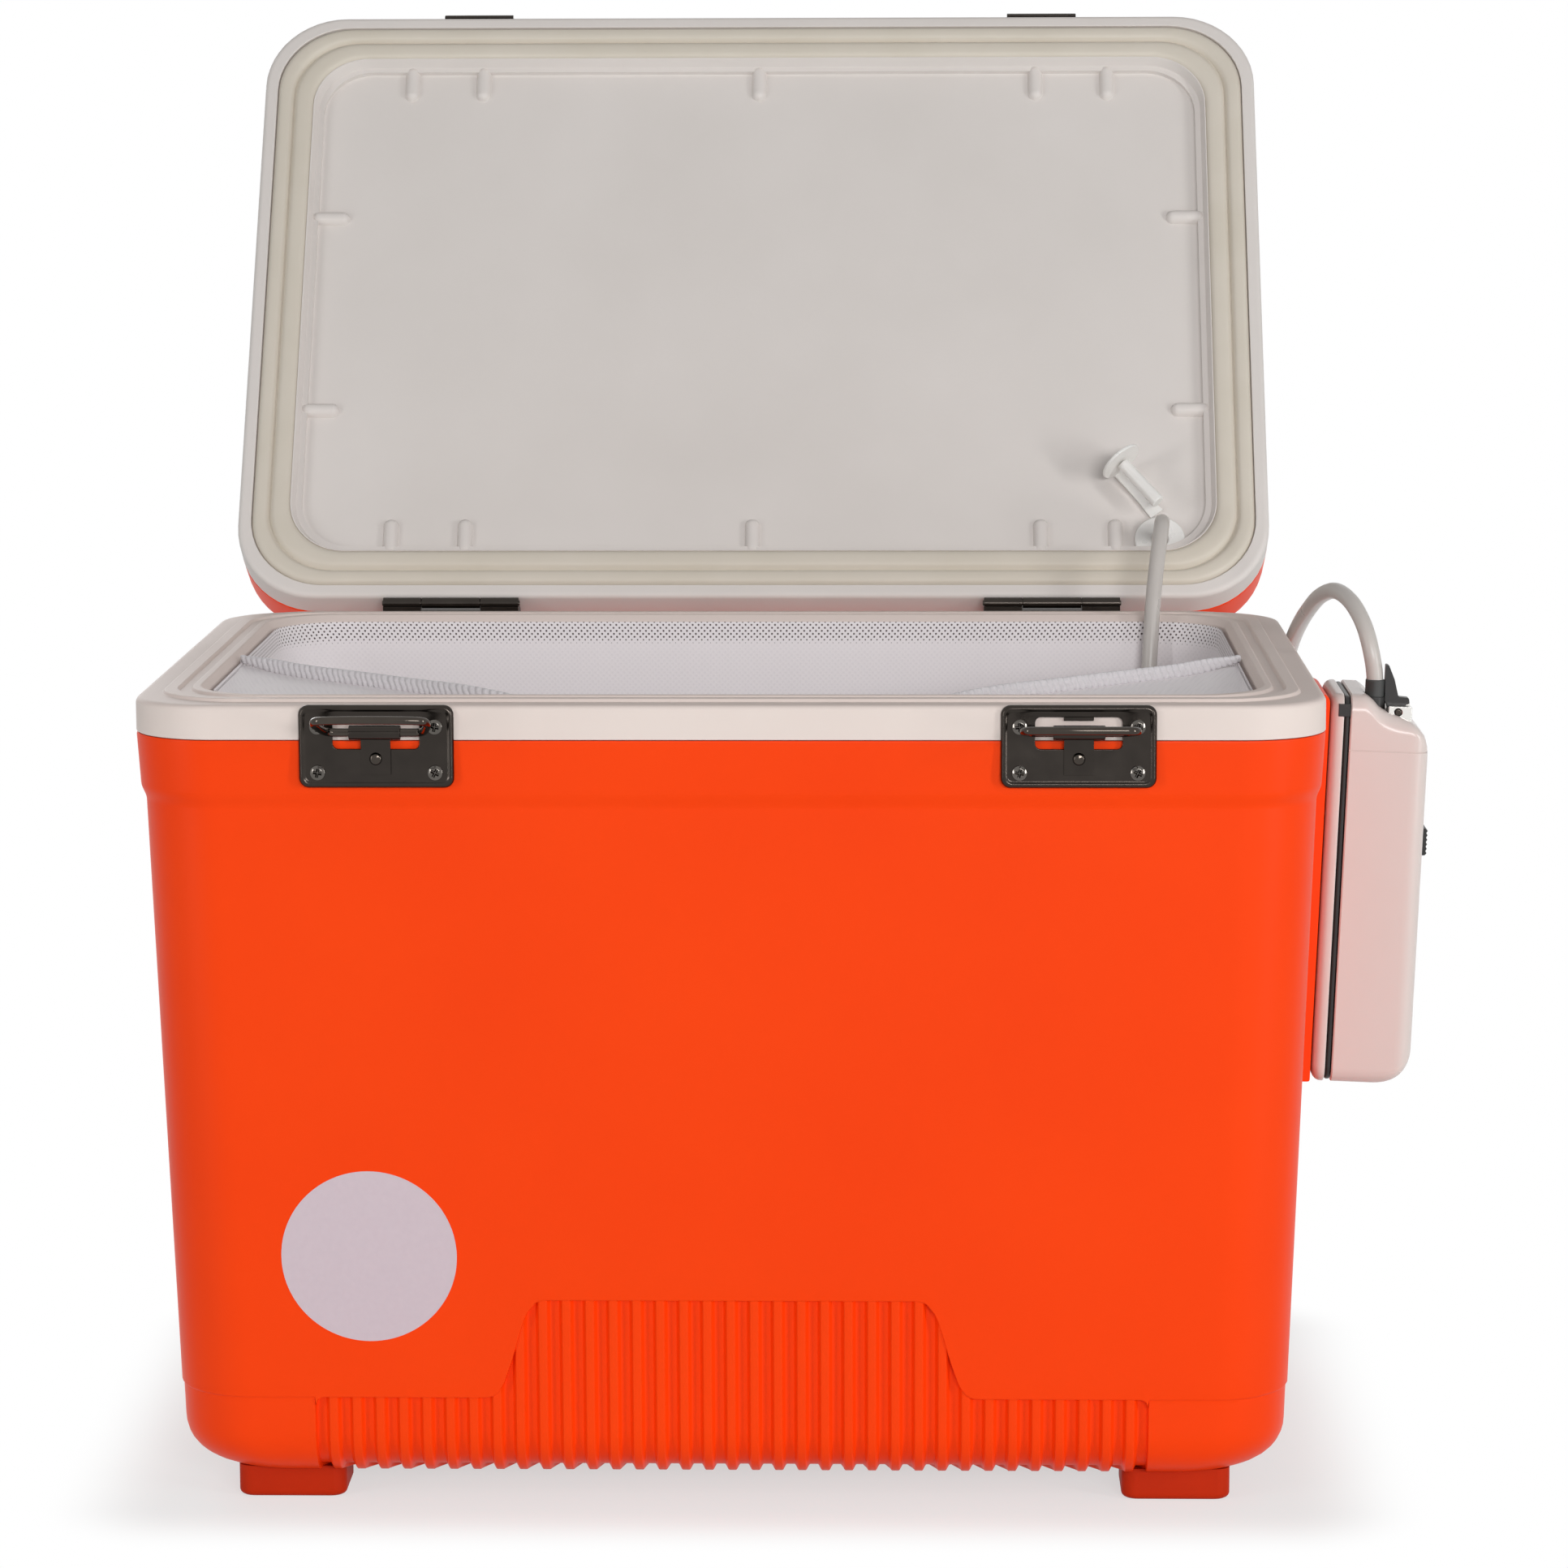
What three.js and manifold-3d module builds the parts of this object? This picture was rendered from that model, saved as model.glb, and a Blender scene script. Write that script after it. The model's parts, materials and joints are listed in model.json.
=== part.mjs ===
// Live bait well: an insulated tub with a hinged lid, two bail latches, a side-mounted air pump,
// an air hose that runs through a port in the lid, and a net liner.
// Millimetres, +Z up. The model is built about the tub's own centre line, with its feet at z = 0, and the
// finished group is then moved so that its origin lies under the middle of its bounding box.
import * as THREE from 'three';
import { mergeVertices } from 'three/addons/utils/BufferGeometryUtils.js';
import Module from 'manifold-3d';

const { degToRad, lerp } = THREE.MathUtils;

// Driving dimensions

const clearance = 0.3; // between pieces that seat on each other
const overrun = 5; // how far a cutter runs past what it cuts
const cornerSteps = 5; // facets in each rounded plan corner

const tub = {
  width: 430, depth: 284, height: 300, corner: 30,
  underside: 11, wall: 3, edgeRadius: 19,
  bandHeight: 19, bandDraft: 1.1, stepHeight: 6.5, stepInset: 2.8, wallDraft: 1.9,
  baseTop: 44, baseStep: 0.6, baseRise: 2,
};
const rim = {
  band: 12.5, top: 2.5, skirt: 2.5, edge: 1,
  lipFrom: 8.6, lipTo: 14.1, ridgeFrom: 17.8, ridgeTo: 21.2, lipRise: 1.2, lipSlope: 0.7, width: 23,
};
const well = { corner: 28, throat: 10, throatInset: 25, floor: 46, floorInset: 45, floorRadius: 14, wall: 3 };
const foot = { width: 40, depth: 30, x: 163.5, y: 100, corner: 5, edge: 2 };
const ribField = {
  count: 35, pitch: 8.57, width: 6.4, depth: 1.6, corner: 3, halfWidth: 152, lowTop: 43,
  archTop: 80, archFlat: 67, archFoot: 92, archBend: 77, topMargin: 1.6, embed: 0.8,
};
const lid = {
  width: 429, depth: 284, corner: 34, plane: 0.6, band: 12.5, bandWall: 2.5, bandEdge: 1,
  recess: 7, recessMargin: 22, recessSlope: 1.2, panelWall: 2.5, grooveDepth: 2, tongue: 4.5,
  height: 42, wall: 3, topRadius: 18, sideDraft: 0.8, plateauInset: 50, plateauRise: 1.2, openAngle: 123.5,
};
const lidRib = { length: 18, width: 4, rise: 3.4, embed: 1, x: [-151, -120, 0, 120, 151], along: [91.3, 185.4] };
const gasket = { from: 5.5, to: 21.4, valley: 12.9, rise: 0.9, slope: 1.6, valleyHalf: 1.9 };
const hinge = {
  y: 144.8, z: 303, x: 124, width: 56, middle: 24, knuckle: 2.4, bore: 1.45, pin: 1.2, pinHead: 0.4,
  leaf: 1.2, leafLength: 30, sides: 12,
};
const latch = {
  x: 125, width: 55.4, height: 29.8, foot: 270.5, plate: 1.2, corner: 3.5,
  slotHalf: 15.5, slotFoot: 284.5, slotTop: 296, slotCorner: 2,
  screwX: 21, screwLow: 276, screwHigh: 292.5, head: 2.75, headHeight: 1.2, shank: 1.2, shankHole: 1.5, shankLength: 5.2,
  pivotZ: 291, pivotReach: 4.5, barrel: 2.6, barrelHalf: 15, bore: 1.8,
  leafWidth: 10.6, leaf: 0.8, leafFoot: 275.4, leafBend: 285.5, rivetZ: 281.5, rivet: 1.6, rivetHeight: 0.9,
};
const bail = { wire: 1.5, sides: 8, steps: 26, reach: 20, half: 20, restLeft: 20, restRight: 10 };
const bailShares = [[0, 0.4], [0, 0.68], [0.02, 0.8], [0.12, 0.885], [0.32, 0.94], [0.56, 0.98], [0.76, 1], [0.93, 0.95], [1, 0.78]];
const lidCatch = { x: 122.9, width: 30, low: 1.2, high: 20, plate: 1.2, lipLow: 3, lipHigh: 6, lipReach: 4, lipTip: 1.2 };
const port = { x: 169.3, s: 29.2, hole: 6, bush: 5.7, bore: 3.5, ring: 10.5, ringThick: 2, outerRing: 9, sides: 20 };
const plug = {
  flangeX: 152.3, flangeS: 62, tipX: 166, tipS: 44.5, stand: 12, barrel: 3.9, flange: 9, flangeThick: 2,
  strapWidth: 6, strapThick: 1.5, sides: 16,
};
const pump = {
  padFace: 218.4, foot: 138.3, tilt: 2.3, padHalf: 20, padTop: 150, padCorner: 4, padEmbed: 1,
  width: 52, height: 150, backDepth: 5.4, sealFrom: 5.7, sealTo: 7.5, sealInset: 1, caseFrom: 7.8, caseTo: 38.2,
  wall: 2.5, footRadius: 14, sideRadius: 6, topRadius: 10, flatTo: 13, shoulderIn: 18.5, shoulderOut: 31, shoulderLow: 139.4,
  seam: 128, cavityTop: 122,
};
const door = { half: 20, foot: 22, top: 78, thick: 2.4, barrel: 1.3 };
const knob = { z: 92, half: 7, tall: 10.5, proud: 3, stem: 2.4, stemTall: 4, travel: 6, stemLength: 5, grip: 0.5 };
const nozzle = { x: 17.5, y: -14, base: 4.2, top: 151.2, neck: 3.3, neckHeight: 2.5, foot: 142, sides: 14 };
const clevis = { fromX: 22.5, toX: 31.5, foot: 137.5, top: 145.6, half: 6, slot: 2.4, slotFoot: 140, pinX: 26.2, pinZ: 143.4, pin: 1.2, bore: 1.45 };
const lever = { half: 2, hub: 3, tipX: 21.4, tipZ: 161, tip: 1.1, knobX: 26.5, knobTop: 148.4, knobHalf: 2.2 };
const cell = { radius: 13, length: 50, nub: 3, nubHeight: 1.2, foot: 12.5, sides: 16 };
const motor = { radius: 9, length: 28, foot: 58, shaft: 1.2, shaftLength: 4, sides: 16 };
const diaphragm = { halfX: 8.5, halfY: 9, height: 26, outlet: 2.5, outletRise: 3 };
const hose = { diameter: 6.35, sides: 8, outerSteps: 22, innerSteps: 28 };
const airstone = { radius: 9, length: 32, x: 76, y: 47, z: 58.5, barb: 2, barbLength: 5, sides: 14 };
const net = {
  thick: 1.2, gap: 1.6, mouthZ: 296.5, hangY: 5, bendX: 83, bendY: -101, sagY: -111.5, sagZ: 285,
  bellyZ: 215, bellyShare: 0.45, kneeZ: 120, pointsApart: 42, cornerSteps: 3,
  hemRadius: 2.6, hemCount: 16, hemSteps: 22, hemSides: 8, wallGap: 3.6,
};

// Routes of the two hose stretches, chosen by hand along the photographed curve
const outerRoute = [
  [241.9, -14, 289.2], [241.7, -14, 295], [240.4, -13.5, 303], [238, -10, 312.2], [234.2, -1, 319.8],
  [229.6, 13, 323], [225.2, 33, 319.2], [222, 57, 310.4], [220.2, 83, 300.4], [219.6, 107, 290.8],
  [219.8, 130, 281.5], [219.4, 152, 273.2], [216.6, 173, 266.4], [210, 193, 261.6], [200.5, 210, 259.4],
  [189.5, 223, 260.6], [179.6, 230.6, 265.6], [172.9, 231.8, 273.6], [170.3, 227.4, 282.4],
  [169.4, 219.6, 289.6], [169.3, 210, 296.4], [169.3, 200.6, 303.2],
];
const innerRoute = [
  [169.3, 161.8, 328.4], [169.3, 156.5, 331.8], [169.2, 149.5, 335.4], [168.8, 141.5, 336.8], [168, 133, 334.6],
  [166.8, 125.4, 328.6], [165.4, 119.2, 319.4], [164.1, 114.4, 308], [163.1, 110.4, 294], [162.2, 106.8, 279],
  [161, 103, 262], [159.6, 99, 244], [157.8, 95, 222], [155.6, 91, 198], [152.8, 87, 172],
  [149.4, 82.6, 146], [145, 77.6, 120], [139.6, 71.6, 97], [132.6, 64.6, 79], [123.4, 57.6, 66.6],
  [112.4, 51.6, 60.4], [103, 48, 58.8], [97.4, 47, 58.5],
];

// Materials

const finish = (color, roughness, metalness = 0, opacity = 1) =>
  new THREE.MeshStandardMaterial({ color, roughness, metalness, opacity, transparent: opacity < 1 });

const materials = {
  orangeShell: finish('#f8471a', 0.42),
  whiteLiner: finish('#e4dcd6', 0.45),
  foam: finish('#efe6b8', 0.9),
  rubberFoot: finish('#e9e4df', 0.7),
  gasketVinyl: finish('#d2ccb8', 0.55),
  darkSteel: finish('#6a645d', 0.28, 1),
  brightSteel: finish('#c9c9c6', 0.25, 1),
  pumpPlastic: finish('#e8dcd8', 0.35),
  blackPlastic: finish('#161616', 0.45),
  cellJacket: finish('#3b4a5c', 0.4, 0.3),
  hoseVinyl: finish('#b4aeaa', 0.35, 0, 0.8),
  silicone: finish('#dcd8d2', 0.4, 0, 0.75),
  stone: finish('#6f8394', 0.95),
  netting: finish('#cdcdd4', 0.8),
};

// Closed meshes and booleans

const wasm = await Module();
wasm.setup();
const weld = 1e-4;

// A closed geometry as a solid, with its faces turned out if it was made inside out.
function solidFrom(geometry) {
  const bare = new THREE.BufferGeometry().setAttribute('position', geometry.getAttribute('position'));
  if (geometry.index) bare.setIndex(geometry.index);
  const merged = mergeVertices(bare, weld);
  const triVerts = new Uint32Array(merged.index.array);
  const vertProperties = merged.attributes.position.array;
  const solid = new wasm.Manifold(new wasm.Mesh({ numProp: 3, vertProperties, triVerts }));
  if (solid.volume() > 0) return solid;
  return new wasm.Manifold(new wasm.Mesh({ numProp: 3, vertProperties, triVerts: triVerts.reverse() }));
}

function geometryFrom(solid) {
  const mesh = solid.getMesh();
  const geometry = new THREE.BufferGeometry();
  geometry.setAttribute('position', new THREE.BufferAttribute(new Float32Array(mesh.vertProperties), 3));
  geometry.setIndex(new THREE.BufferAttribute(mesh.triVerts, 1));
  geometry.computeVertexNormals();
  return geometry;
}

const cut = (solid, ...tools) => tools.reduce((left, tool) => left.subtract(tool), solid);
const join = (...solids) => solids.reduce((all, solid) => all.add(solid));
const shared = (...solids) => solids.reduce((all, solid) => all.intersect(solid));

// Adds one named mesh to a group.
function place(group, name, solid, material) {
  const mesh = new THREE.Mesh(geometryFrom(solid), material);
  mesh.name = name;
  group.add(mesh);
  return mesh;
}

// Basic forms

// A rounded rectangle as a list of plan points, anticlockwise.
function roundedPlan(halfX, halfY, radius, steps = cornerSteps) {
  const points = [];
  [[1, 1], [-1, 1], [-1, -1], [1, -1]].forEach(([signX, signY], quarter) => {
    for (let step = 0; step <= steps; step++) {
      const angle = ((quarter + step / steps) * Math.PI) / 2;
      points.push(new THREE.Vector2(
        signX * (halfX - radius) + radius * Math.cos(angle),
        signY * (halfY - radius) + radius * Math.sin(angle)));
    }
  });
  return points;
}

// Skins a list of rings that all have the same number of points, and closes both ends with flat caps.
function loft(rings, closesOnItself = false) {
  const around = rings[0].length;
  const index = [];
  const bands = closesOnItself ? rings.length : rings.length - 1;
  for (let band = 0; band < bands; band++) {
    const next = (band + 1) % rings.length;
    for (let i = 0; i < around; i++) {
      const j = (i + 1) % around;
      const [a, b, c, d] = [band * around + i, band * around + j, next * around + j, next * around + i];
      index.push(a, b, c, a, c, d);
    }
  }
  if (!closesOnItself) {
    const last = (rings.length - 1) * around;
    for (let i = 1; i < around - 1; i++) index.push(0, i + 1, i, last, last + i, last + i + 1);
  }
  const positions = rings.flat().flatMap((point) => [point.x, point.y, point.z]);
  const geometry = new THREE.BufferGeometry();
  geometry.setAttribute('position', new THREE.Float32BufferAttribute(positions, 3));
  geometry.setIndex(index);
  return solidFrom(geometry);
}

const flatRing = (points, z, y = 0) => points.map((point) => new THREE.Vector3(point.x, point.y + y, z));

// An outline extruded along one axis. The outline's two coordinates are named by the plane it lies in.
function extruded(outline, plane, from, to, bevel = 0) {
  const shape = outline instanceof THREE.Shape ? outline : new THREE.Shape(outline.map(([a, b]) => new THREE.Vector2(a, b)));
  const geometry = new THREE.ExtrudeGeometry(shape, {
    depth: to - from - 2 * bevel, curveSegments: cornerSteps,
    bevelEnabled: bevel > 0, bevelThickness: bevel, bevelSize: bevel, bevelOffset: -bevel, bevelSegments: 2,
  });
  geometry.translate(0, 0, from + bevel);
  const axes = {
    xy: new THREE.Matrix4(),
    yz: new THREE.Matrix4().set(0, 0, 1, 0, 1, 0, 0, 0, 0, 1, 0, 0, 0, 0, 0, 1),
    xz: new THREE.Matrix4().set(1, 0, 0, 0, 0, 0, 1, 0, 0, 1, 0, 0, 0, 0, 0, 1),
  };
  geometry.applyMatrix4(axes[plane]);
  return solidFrom(geometry);
}

function box(fromX, toX, fromY, toY, fromZ, toZ) {
  const geometry = new THREE.BoxGeometry(toX - fromX, toY - fromY, toZ - fromZ);
  geometry.translate((fromX + toX) / 2, (fromY + toY) / 2, (fromZ + toZ) / 2);
  return solidFrom(geometry);
}

// A cylinder between two points on a line along x, y or z.
function rod(axis, radius, from, to, [first, second], sides = hinge.sides) {
  const geometry = new THREE.CylinderGeometry(radius, radius, to - from, sides);
  geometry.translate(0, (from + to) / 2, 0);
  if (axis === 'x') geometry.rotateZ(-Math.PI / 2).translate(0, first, second);
  if (axis === 'y') geometry.translate(first, 0, second);
  if (axis === 'z') geometry.rotateX(Math.PI / 2).translate(first, second, 0);
  return solidFrom(geometry);
}

// A profile of radius and height turned round the z axis at a plan position.
function turned(profile, sides, x = 0, y = 0) {
  const points = profile.map(([radius, height]) => new THREE.Vector2(radius, height));
  const geometry = new THREE.LatheGeometry(points, sides);
  geometry.rotateX(Math.PI / 2).translate(x, y, 0);
  return solidFrom(geometry);
}

// A round bar along a smooth curve through the given points.
function barAlong(points, radius, sides, steps) {
  const path = new THREE.CatmullRomCurve3(points.map((point) => new THREE.Vector3(...point)), false, 'centripetal');
  const section = new THREE.Shape(
    Array.from({ length: sides }, (_, i) => {
      const angle = ((i + 0.5) / sides) * 2 * Math.PI;
      return new THREE.Vector2(radius * Math.cos(angle), radius * Math.sin(angle));
    }));
  return solidFrom(new THREE.ExtrudeGeometry(section, { steps, extrudePath: path, bevelEnabled: false }));
}

// Quarter-round steps from a flat to a wall: how far in and how far up, each as a share of the radius.
function filletSteps(count) {
  return Array.from({ length: count + 1 }, (_, i) => {
    const angle = ((i / count) * Math.PI) / 2;
    return { inward: 1 - Math.sin(angle), up: 1 - Math.cos(angle) };
  });
}

// The tub

const shellTop = tub.height - rim.band;
const bandFoot = shellTop - tub.bandHeight;
const stepFoot = bandFoot - tub.stepHeight;
const flangeUnder = tub.height - rim.top;
const wallSlope = Math.tan(degToRad(tub.wallDraft));

const tubRadius = (inset) => lerp(tub.corner, well.corner, Math.min(inset / rim.width, 1));
const tubRing = (inset, z) =>
  flatRing(roundedPlan(tub.width / 2 - inset, tub.depth / 2 - inset, tubRadius(inset)), z);

// How far the outer wall stands inside the rim's outline at a height.
function wallInset(z) {
  if (z >= bandFoot) return (tub.bandDraft * (shellTop - Math.min(z, shellTop))) / tub.bandHeight;
  if (z >= stepFoot) return lerp(tub.bandDraft, tub.stepInset, (bandFoot - z) / tub.stepHeight);
  const drafted = tub.stepInset + (stepFoot - z) * wallSlope;
  const baseShare = THREE.MathUtils.clamp((tub.baseTop + tub.baseRise - z) / tub.baseRise, 0, 1);
  return drafted + tub.baseStep * baseShare;
}

// The rings of the outer wall from its flat underside to its top edge, set in by an extra amount.
function outerWallRings(extra = 0) {
  const radius = tub.edgeRadius - extra;
  const bend = tub.underside + tub.edgeRadius;
  const rings = filletSteps(4).map(({ inward, up }) =>
    tubRing(wallInset(bend) + extra + radius * inward, tub.underside + extra + radius * up));
  for (const z of [tub.baseTop, tub.baseTop + tub.baseRise, stepFoot, bandFoot, shellTop])
    rings.push(tubRing(wallInset(z) + extra, z));
  return rings;
}

const tongueOuter = rim.skirt + clearance;
const tongueInner = tongueOuter + tub.wall;

// The rings of the wall's inner side, from the tongue's top edge down to the floor.
function innerWallRings(extra = 0) {
  const set = tub.wall + extra;
  const radius = tub.edgeRadius - set;
  const bend = tub.underside + tub.edgeRadius;
  const rings = [
    tubRing(tongueInner + extra, flangeUnder - extra),
    tubRing(Math.max(tongueInner, wallInset(stepFoot) + tub.wall) + extra, stepFoot),
    tubRing(wallInset(tub.baseTop) + set, tub.baseTop),
  ];
  filletSteps(3).reverse().forEach(({ inward, up }) =>
    rings.push(tubRing(wallInset(bend) + set + radius * inward, tub.underside + set + radius * up)));
  return rings;
}

// The outline of the ribbed field on the front: a low band with an arch in its middle.
function ribFieldShape() {
  const foot = -overrun;
  const shape = new THREE.Shape();
  shape.moveTo(-ribField.halfWidth, foot);
  shape.lineTo(ribField.halfWidth, foot);
  shape.lineTo(ribField.halfWidth, ribField.lowTop - ribField.corner);
  shape.quadraticCurveTo(ribField.halfWidth, ribField.lowTop, ribField.halfWidth - ribField.corner, ribField.lowTop);
  shape.lineTo(ribField.archFoot, ribField.lowTop);
  shape.bezierCurveTo(ribField.archBend, ribField.lowTop, ribField.archBend, ribField.archTop, ribField.archFlat, ribField.archTop);
  shape.lineTo(-ribField.archFlat, ribField.archTop);
  shape.bezierCurveTo(-ribField.archBend, ribField.archTop, -ribField.archBend, ribField.lowTop, -ribField.archFoot, ribField.lowTop);
  shape.lineTo(-ribField.halfWidth + ribField.corner, ribField.lowTop);
  shape.quadraticCurveTo(-ribField.halfWidth, ribField.lowTop, -ribField.halfWidth, ribField.lowTop - ribField.corner);
  return shape;
}

// The height of the field's upper edge above a point on the front.
function ribFieldTop(x) {
  const reach = Math.abs(x);
  if (reach <= ribField.archFlat) return ribField.archTop;
  if (reach >= ribField.archFoot) return ribField.lowTop;
  const along = (reach - ribField.archFlat) / (ribField.archFoot - ribField.archFlat);
  return lerp(ribField.archTop, ribField.lowTop, along * along * (3 - 2 * along));
}

// One rounded rib that runs down the front wall and round its bottom edge.
function frontRib(x) {
  const bend = tub.underside + tub.edgeRadius;
  const wallY = (z) => -(tub.depth / 2 - wallInset(z));
  const top = ribFieldTop(x) - ribField.topMargin;
  const path = [top, tub.baseTop, bend].filter((z) => z <= top).map((z) => ({ y: wallY(z), z, outY: -1, outZ: 0 }));
  filletSteps(3).reverse().slice(1).forEach(({ inward, up }) => path.push({
    y: wallY(bend) + tub.edgeRadius * inward, z: tub.underside + tub.edgeRadius * up, outY: inward - 1, outZ: up - 1,
  }));
  const section = [[-0.5, -1], [-0.5, 0], [-0.25, 1], [0.25, 1], [0.5, 0], [0.5, -1]];
  const rise = ribField.depth;
  const rings = path.map(({ y, z, outY, outZ }) => section.map(([across, level]) => {
    const out = level < 0 ? -rise - ribField.embed : (level - 1) * rise * 0.6 - (level ? 0 : rise * 0.4);
    return new THREE.Vector3(x + across * ribField.width, y + out * outY, z + out * outZ);
  }));
  return loft(rings);
}

// The raised pad on the right-hand wall that the pump is fixed to.
const tilt = degToRad(pump.tilt);
const padX = (up) => pump.padFace + up * Math.sin(tilt);
const padZ = (up) => pump.foot + up * Math.cos(tilt);
function pumpPad() {
  const inside = (z) => tub.width / 2 - wallInset(z) - pump.padEmbed;
  const lowZ = pump.foot;
  const outline = [
    [inside(lowZ), lowZ], [padX(0), padZ(0)], [padX(pump.padTop - pump.padCorner), padZ(pump.padTop - pump.padCorner)],
    [padX(pump.padTop) - pump.padCorner, padZ(pump.padTop)], [tub.width / 2 + clearance, padZ(pump.padTop)],
    [tub.width / 2 + clearance, shellTop - clearance], [inside(shellTop), shellTop - clearance],
    [inside(bandFoot), bandFoot], [inside(stepFoot), stepFoot],
  ];
  return extruded(outline, 'xz', -pump.padHalf, pump.padHalf);
}

const latchXs = { left: -latch.x, right: latch.x };
const plateBack = -(tub.depth / 2 + clearance);
const plateFace = plateBack - latch.plate;
const screwHoles = Object.values(latchXs).flatMap((x) => [-1, 1].flatMap((side) =>
  [latch.screwLow, latch.screwHigh].map((z) =>
    rod('y', latch.shankHole, plateBack - overrun, plateBack + latch.shankLength + clearance, [x + side * latch.screwX, z], 8))));

function outerShell() {
  const shoulder = shellTop - clearance;
  const rings = [
    ...outerWallRings().slice(0, -1), tubRing(0, shoulder), tubRing(tongueOuter, shoulder),
    tubRing(tongueOuter, flangeUnder), ...innerWallRings(),
  ];
  const field = extruded(ribFieldShape(), 'xz', -tub.depth / 2 - overrun, -tub.depth / 2 + 2 * tub.edgeRadius);
  const recess = cut(field, loft(outerWallRings(ribField.depth)));
  const ribs = Array.from({ length: ribField.count }, (_, i) => frontRib((i - (ribField.count - 1) / 2) * ribField.pitch));
  return join(cut(loft(rings), recess, ...screwHoles), ...ribs, pumpPad());
}

// How far the well's wall stands inside the rim's outline at a height.
function wellInset(z) {
  const throat = tub.height - well.throat;
  if (z >= throat) return lerp(well.throatInset, rim.width, (z - throat) / well.throat);
  return lerp(well.throatInset, well.floorInset, (throat - z) / (throat - well.floor));
}

// The hidden side of the liner from its floor up to the flange.
function linerBackRings(extra = 0) {
  const set = well.wall + extra;
  const bend = well.floor + well.floorRadius;
  const radius = well.floorRadius + set;
  const rings = filletSteps(3).map(({ inward, up }) =>
    tubRing(wellInset(bend) - set + radius * inward, well.floor - set + radius * up));
  rings.push(tubRing(wellInset(tub.height - well.throat) - set, tub.height - well.throat));
  return rings;
}

function innerLiner() {
  const bend = well.floor + well.floorRadius;
  const lipTop = tub.height + rim.lipRise;
  const rings = [
    ...linerBackRings(),
    tubRing(wellInset(flangeUnder) - well.wall, flangeUnder), tubRing(rim.skirt, flangeUnder),
    tubRing(rim.skirt, shellTop), tubRing(0, shellTop), tubRing(0, tub.height - rim.edge), tubRing(rim.edge, tub.height),
    tubRing(rim.lipFrom, tub.height), tubRing(rim.lipFrom + rim.lipSlope, lipTop), tubRing(rim.lipTo - rim.lipSlope, lipTop),
    tubRing(rim.lipTo, tub.height), tubRing(rim.ridgeFrom, tub.height), tubRing(rim.ridgeFrom + rim.lipSlope, lipTop),
    tubRing(rim.ridgeTo, lipTop), tubRing(rim.width, tub.height - rim.edge),
    tubRing(wellInset(tub.height - well.throat), tub.height - well.throat),
  ];
  filletSteps(4).reverse().forEach(({ inward, up }) =>
    rings.push(tubRing(wellInset(bend) + well.floorRadius * inward, well.floor + well.floorRadius * up)));
  return cut(loft(rings), ...screwHoles);
}

function insulationFoam() {
  const outside = innerWallRings(clearance).reverse();
  const inside = [tubRing(wellInset(flangeUnder) - well.wall - clearance, flangeUnder - clearance),
    ...linerBackRings(clearance).reverse()];
  return loft([...outside, ...inside]);
}

function tubFoot() {
  const ring = (edge, z) => flatRing(roundedPlan(foot.width / 2 - edge, foot.depth / 2 - edge, foot.corner, 3), z);
  return loft([ring(foot.edge, 0), ring(foot.edge / 4, foot.edge), ring(0, tub.underside)]);
}

// The latches

function latchPlate(x) {
  const corners = (halfX, lowZ, highZ, radius) => roundedPlan(halfX, (highZ - lowZ) / 2, radius, 2)
    .map((point) => new THREE.Vector2(point.x + x, point.y + (lowZ + highZ) / 2));
  const shape = new THREE.Shape(corners(latch.width / 2, latch.foot, latch.foot + latch.height, latch.corner));
  shape.holes.push(new THREE.Path(corners(latch.slotHalf, latch.slotFoot, latch.slotTop, latch.slotCorner)));
  for (const side of [-1, 1])
    for (const z of [latch.screwLow, latch.screwHigh])
      shape.holes.push(new THREE.Path(corners(latch.shankHole, z - latch.shankHole, z + latch.shankHole, latch.shankHole * 0.9)
        .map((point) => new THREE.Vector2(point.x + side * latch.screwX, point.y))));
  return extruded(shape, 'xz', plateFace, plateBack);
}

const pivotY = plateFace - latch.pivotReach + latch.leaf;

// A leaf riveted to the plate's face, whose upper end is rolled into the barrel that holds the bail.
function latchLeaf(x) {
  const face = plateFace - clearance;
  const [low, bend] = [latch.leafFoot, latch.leafBend];
  const outline = [
    [face, low], [face, bend], [pivotY + latch.barrel / 2, latch.pivotZ], [pivotY - latch.barrel / 2, latch.pivotZ],
    [face - latch.leaf, bend - latch.leaf], [face - latch.leaf, low],
  ];
  const leaf = extruded(outline, 'yz', x - latch.leafWidth / 2, x + latch.leafWidth / 2);
  const barrel = rod('x', latch.barrel, x - latch.barrelHalf, x + latch.barrelHalf, [pivotY, latch.pivotZ], 14);
  const bore = rod('x', latch.bore, x - latch.barrelHalf - overrun, x + latch.barrelHalf + overrun, [pivotY, latch.pivotZ], 14);
  return cut(join(leaf, barrel), bore);
}

function latchRivet(x) {
  const face = plateFace - clearance - latch.leaf - clearance;
  return turned([[0, face - latch.rivetHeight], [latch.rivet / 2, face - latch.rivetHeight * 0.9],
    [latch.rivet, face - latch.rivetHeight / 4], [latch.rivet, face], [0, face]], 12)
    .rotate([-90, 0, 0]).translate([x, 0, latch.rivetZ]);
}

function latchScrew(x, z) {
  const under = -plateFace + clearance;
  const profile = [[0, under + latch.headHeight], [latch.head * 0.6, under + latch.headHeight * 0.85],
    [latch.head, under + latch.headHeight * 0.3], [latch.head, under], [latch.shank, under],
    [latch.shank, -plateBack - latch.shankLength], [0, -plateBack - latch.shankLength]];
  return turned(profile, 8).rotate([90, 0, 0]).translate([x, 0, z]);
}

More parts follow.
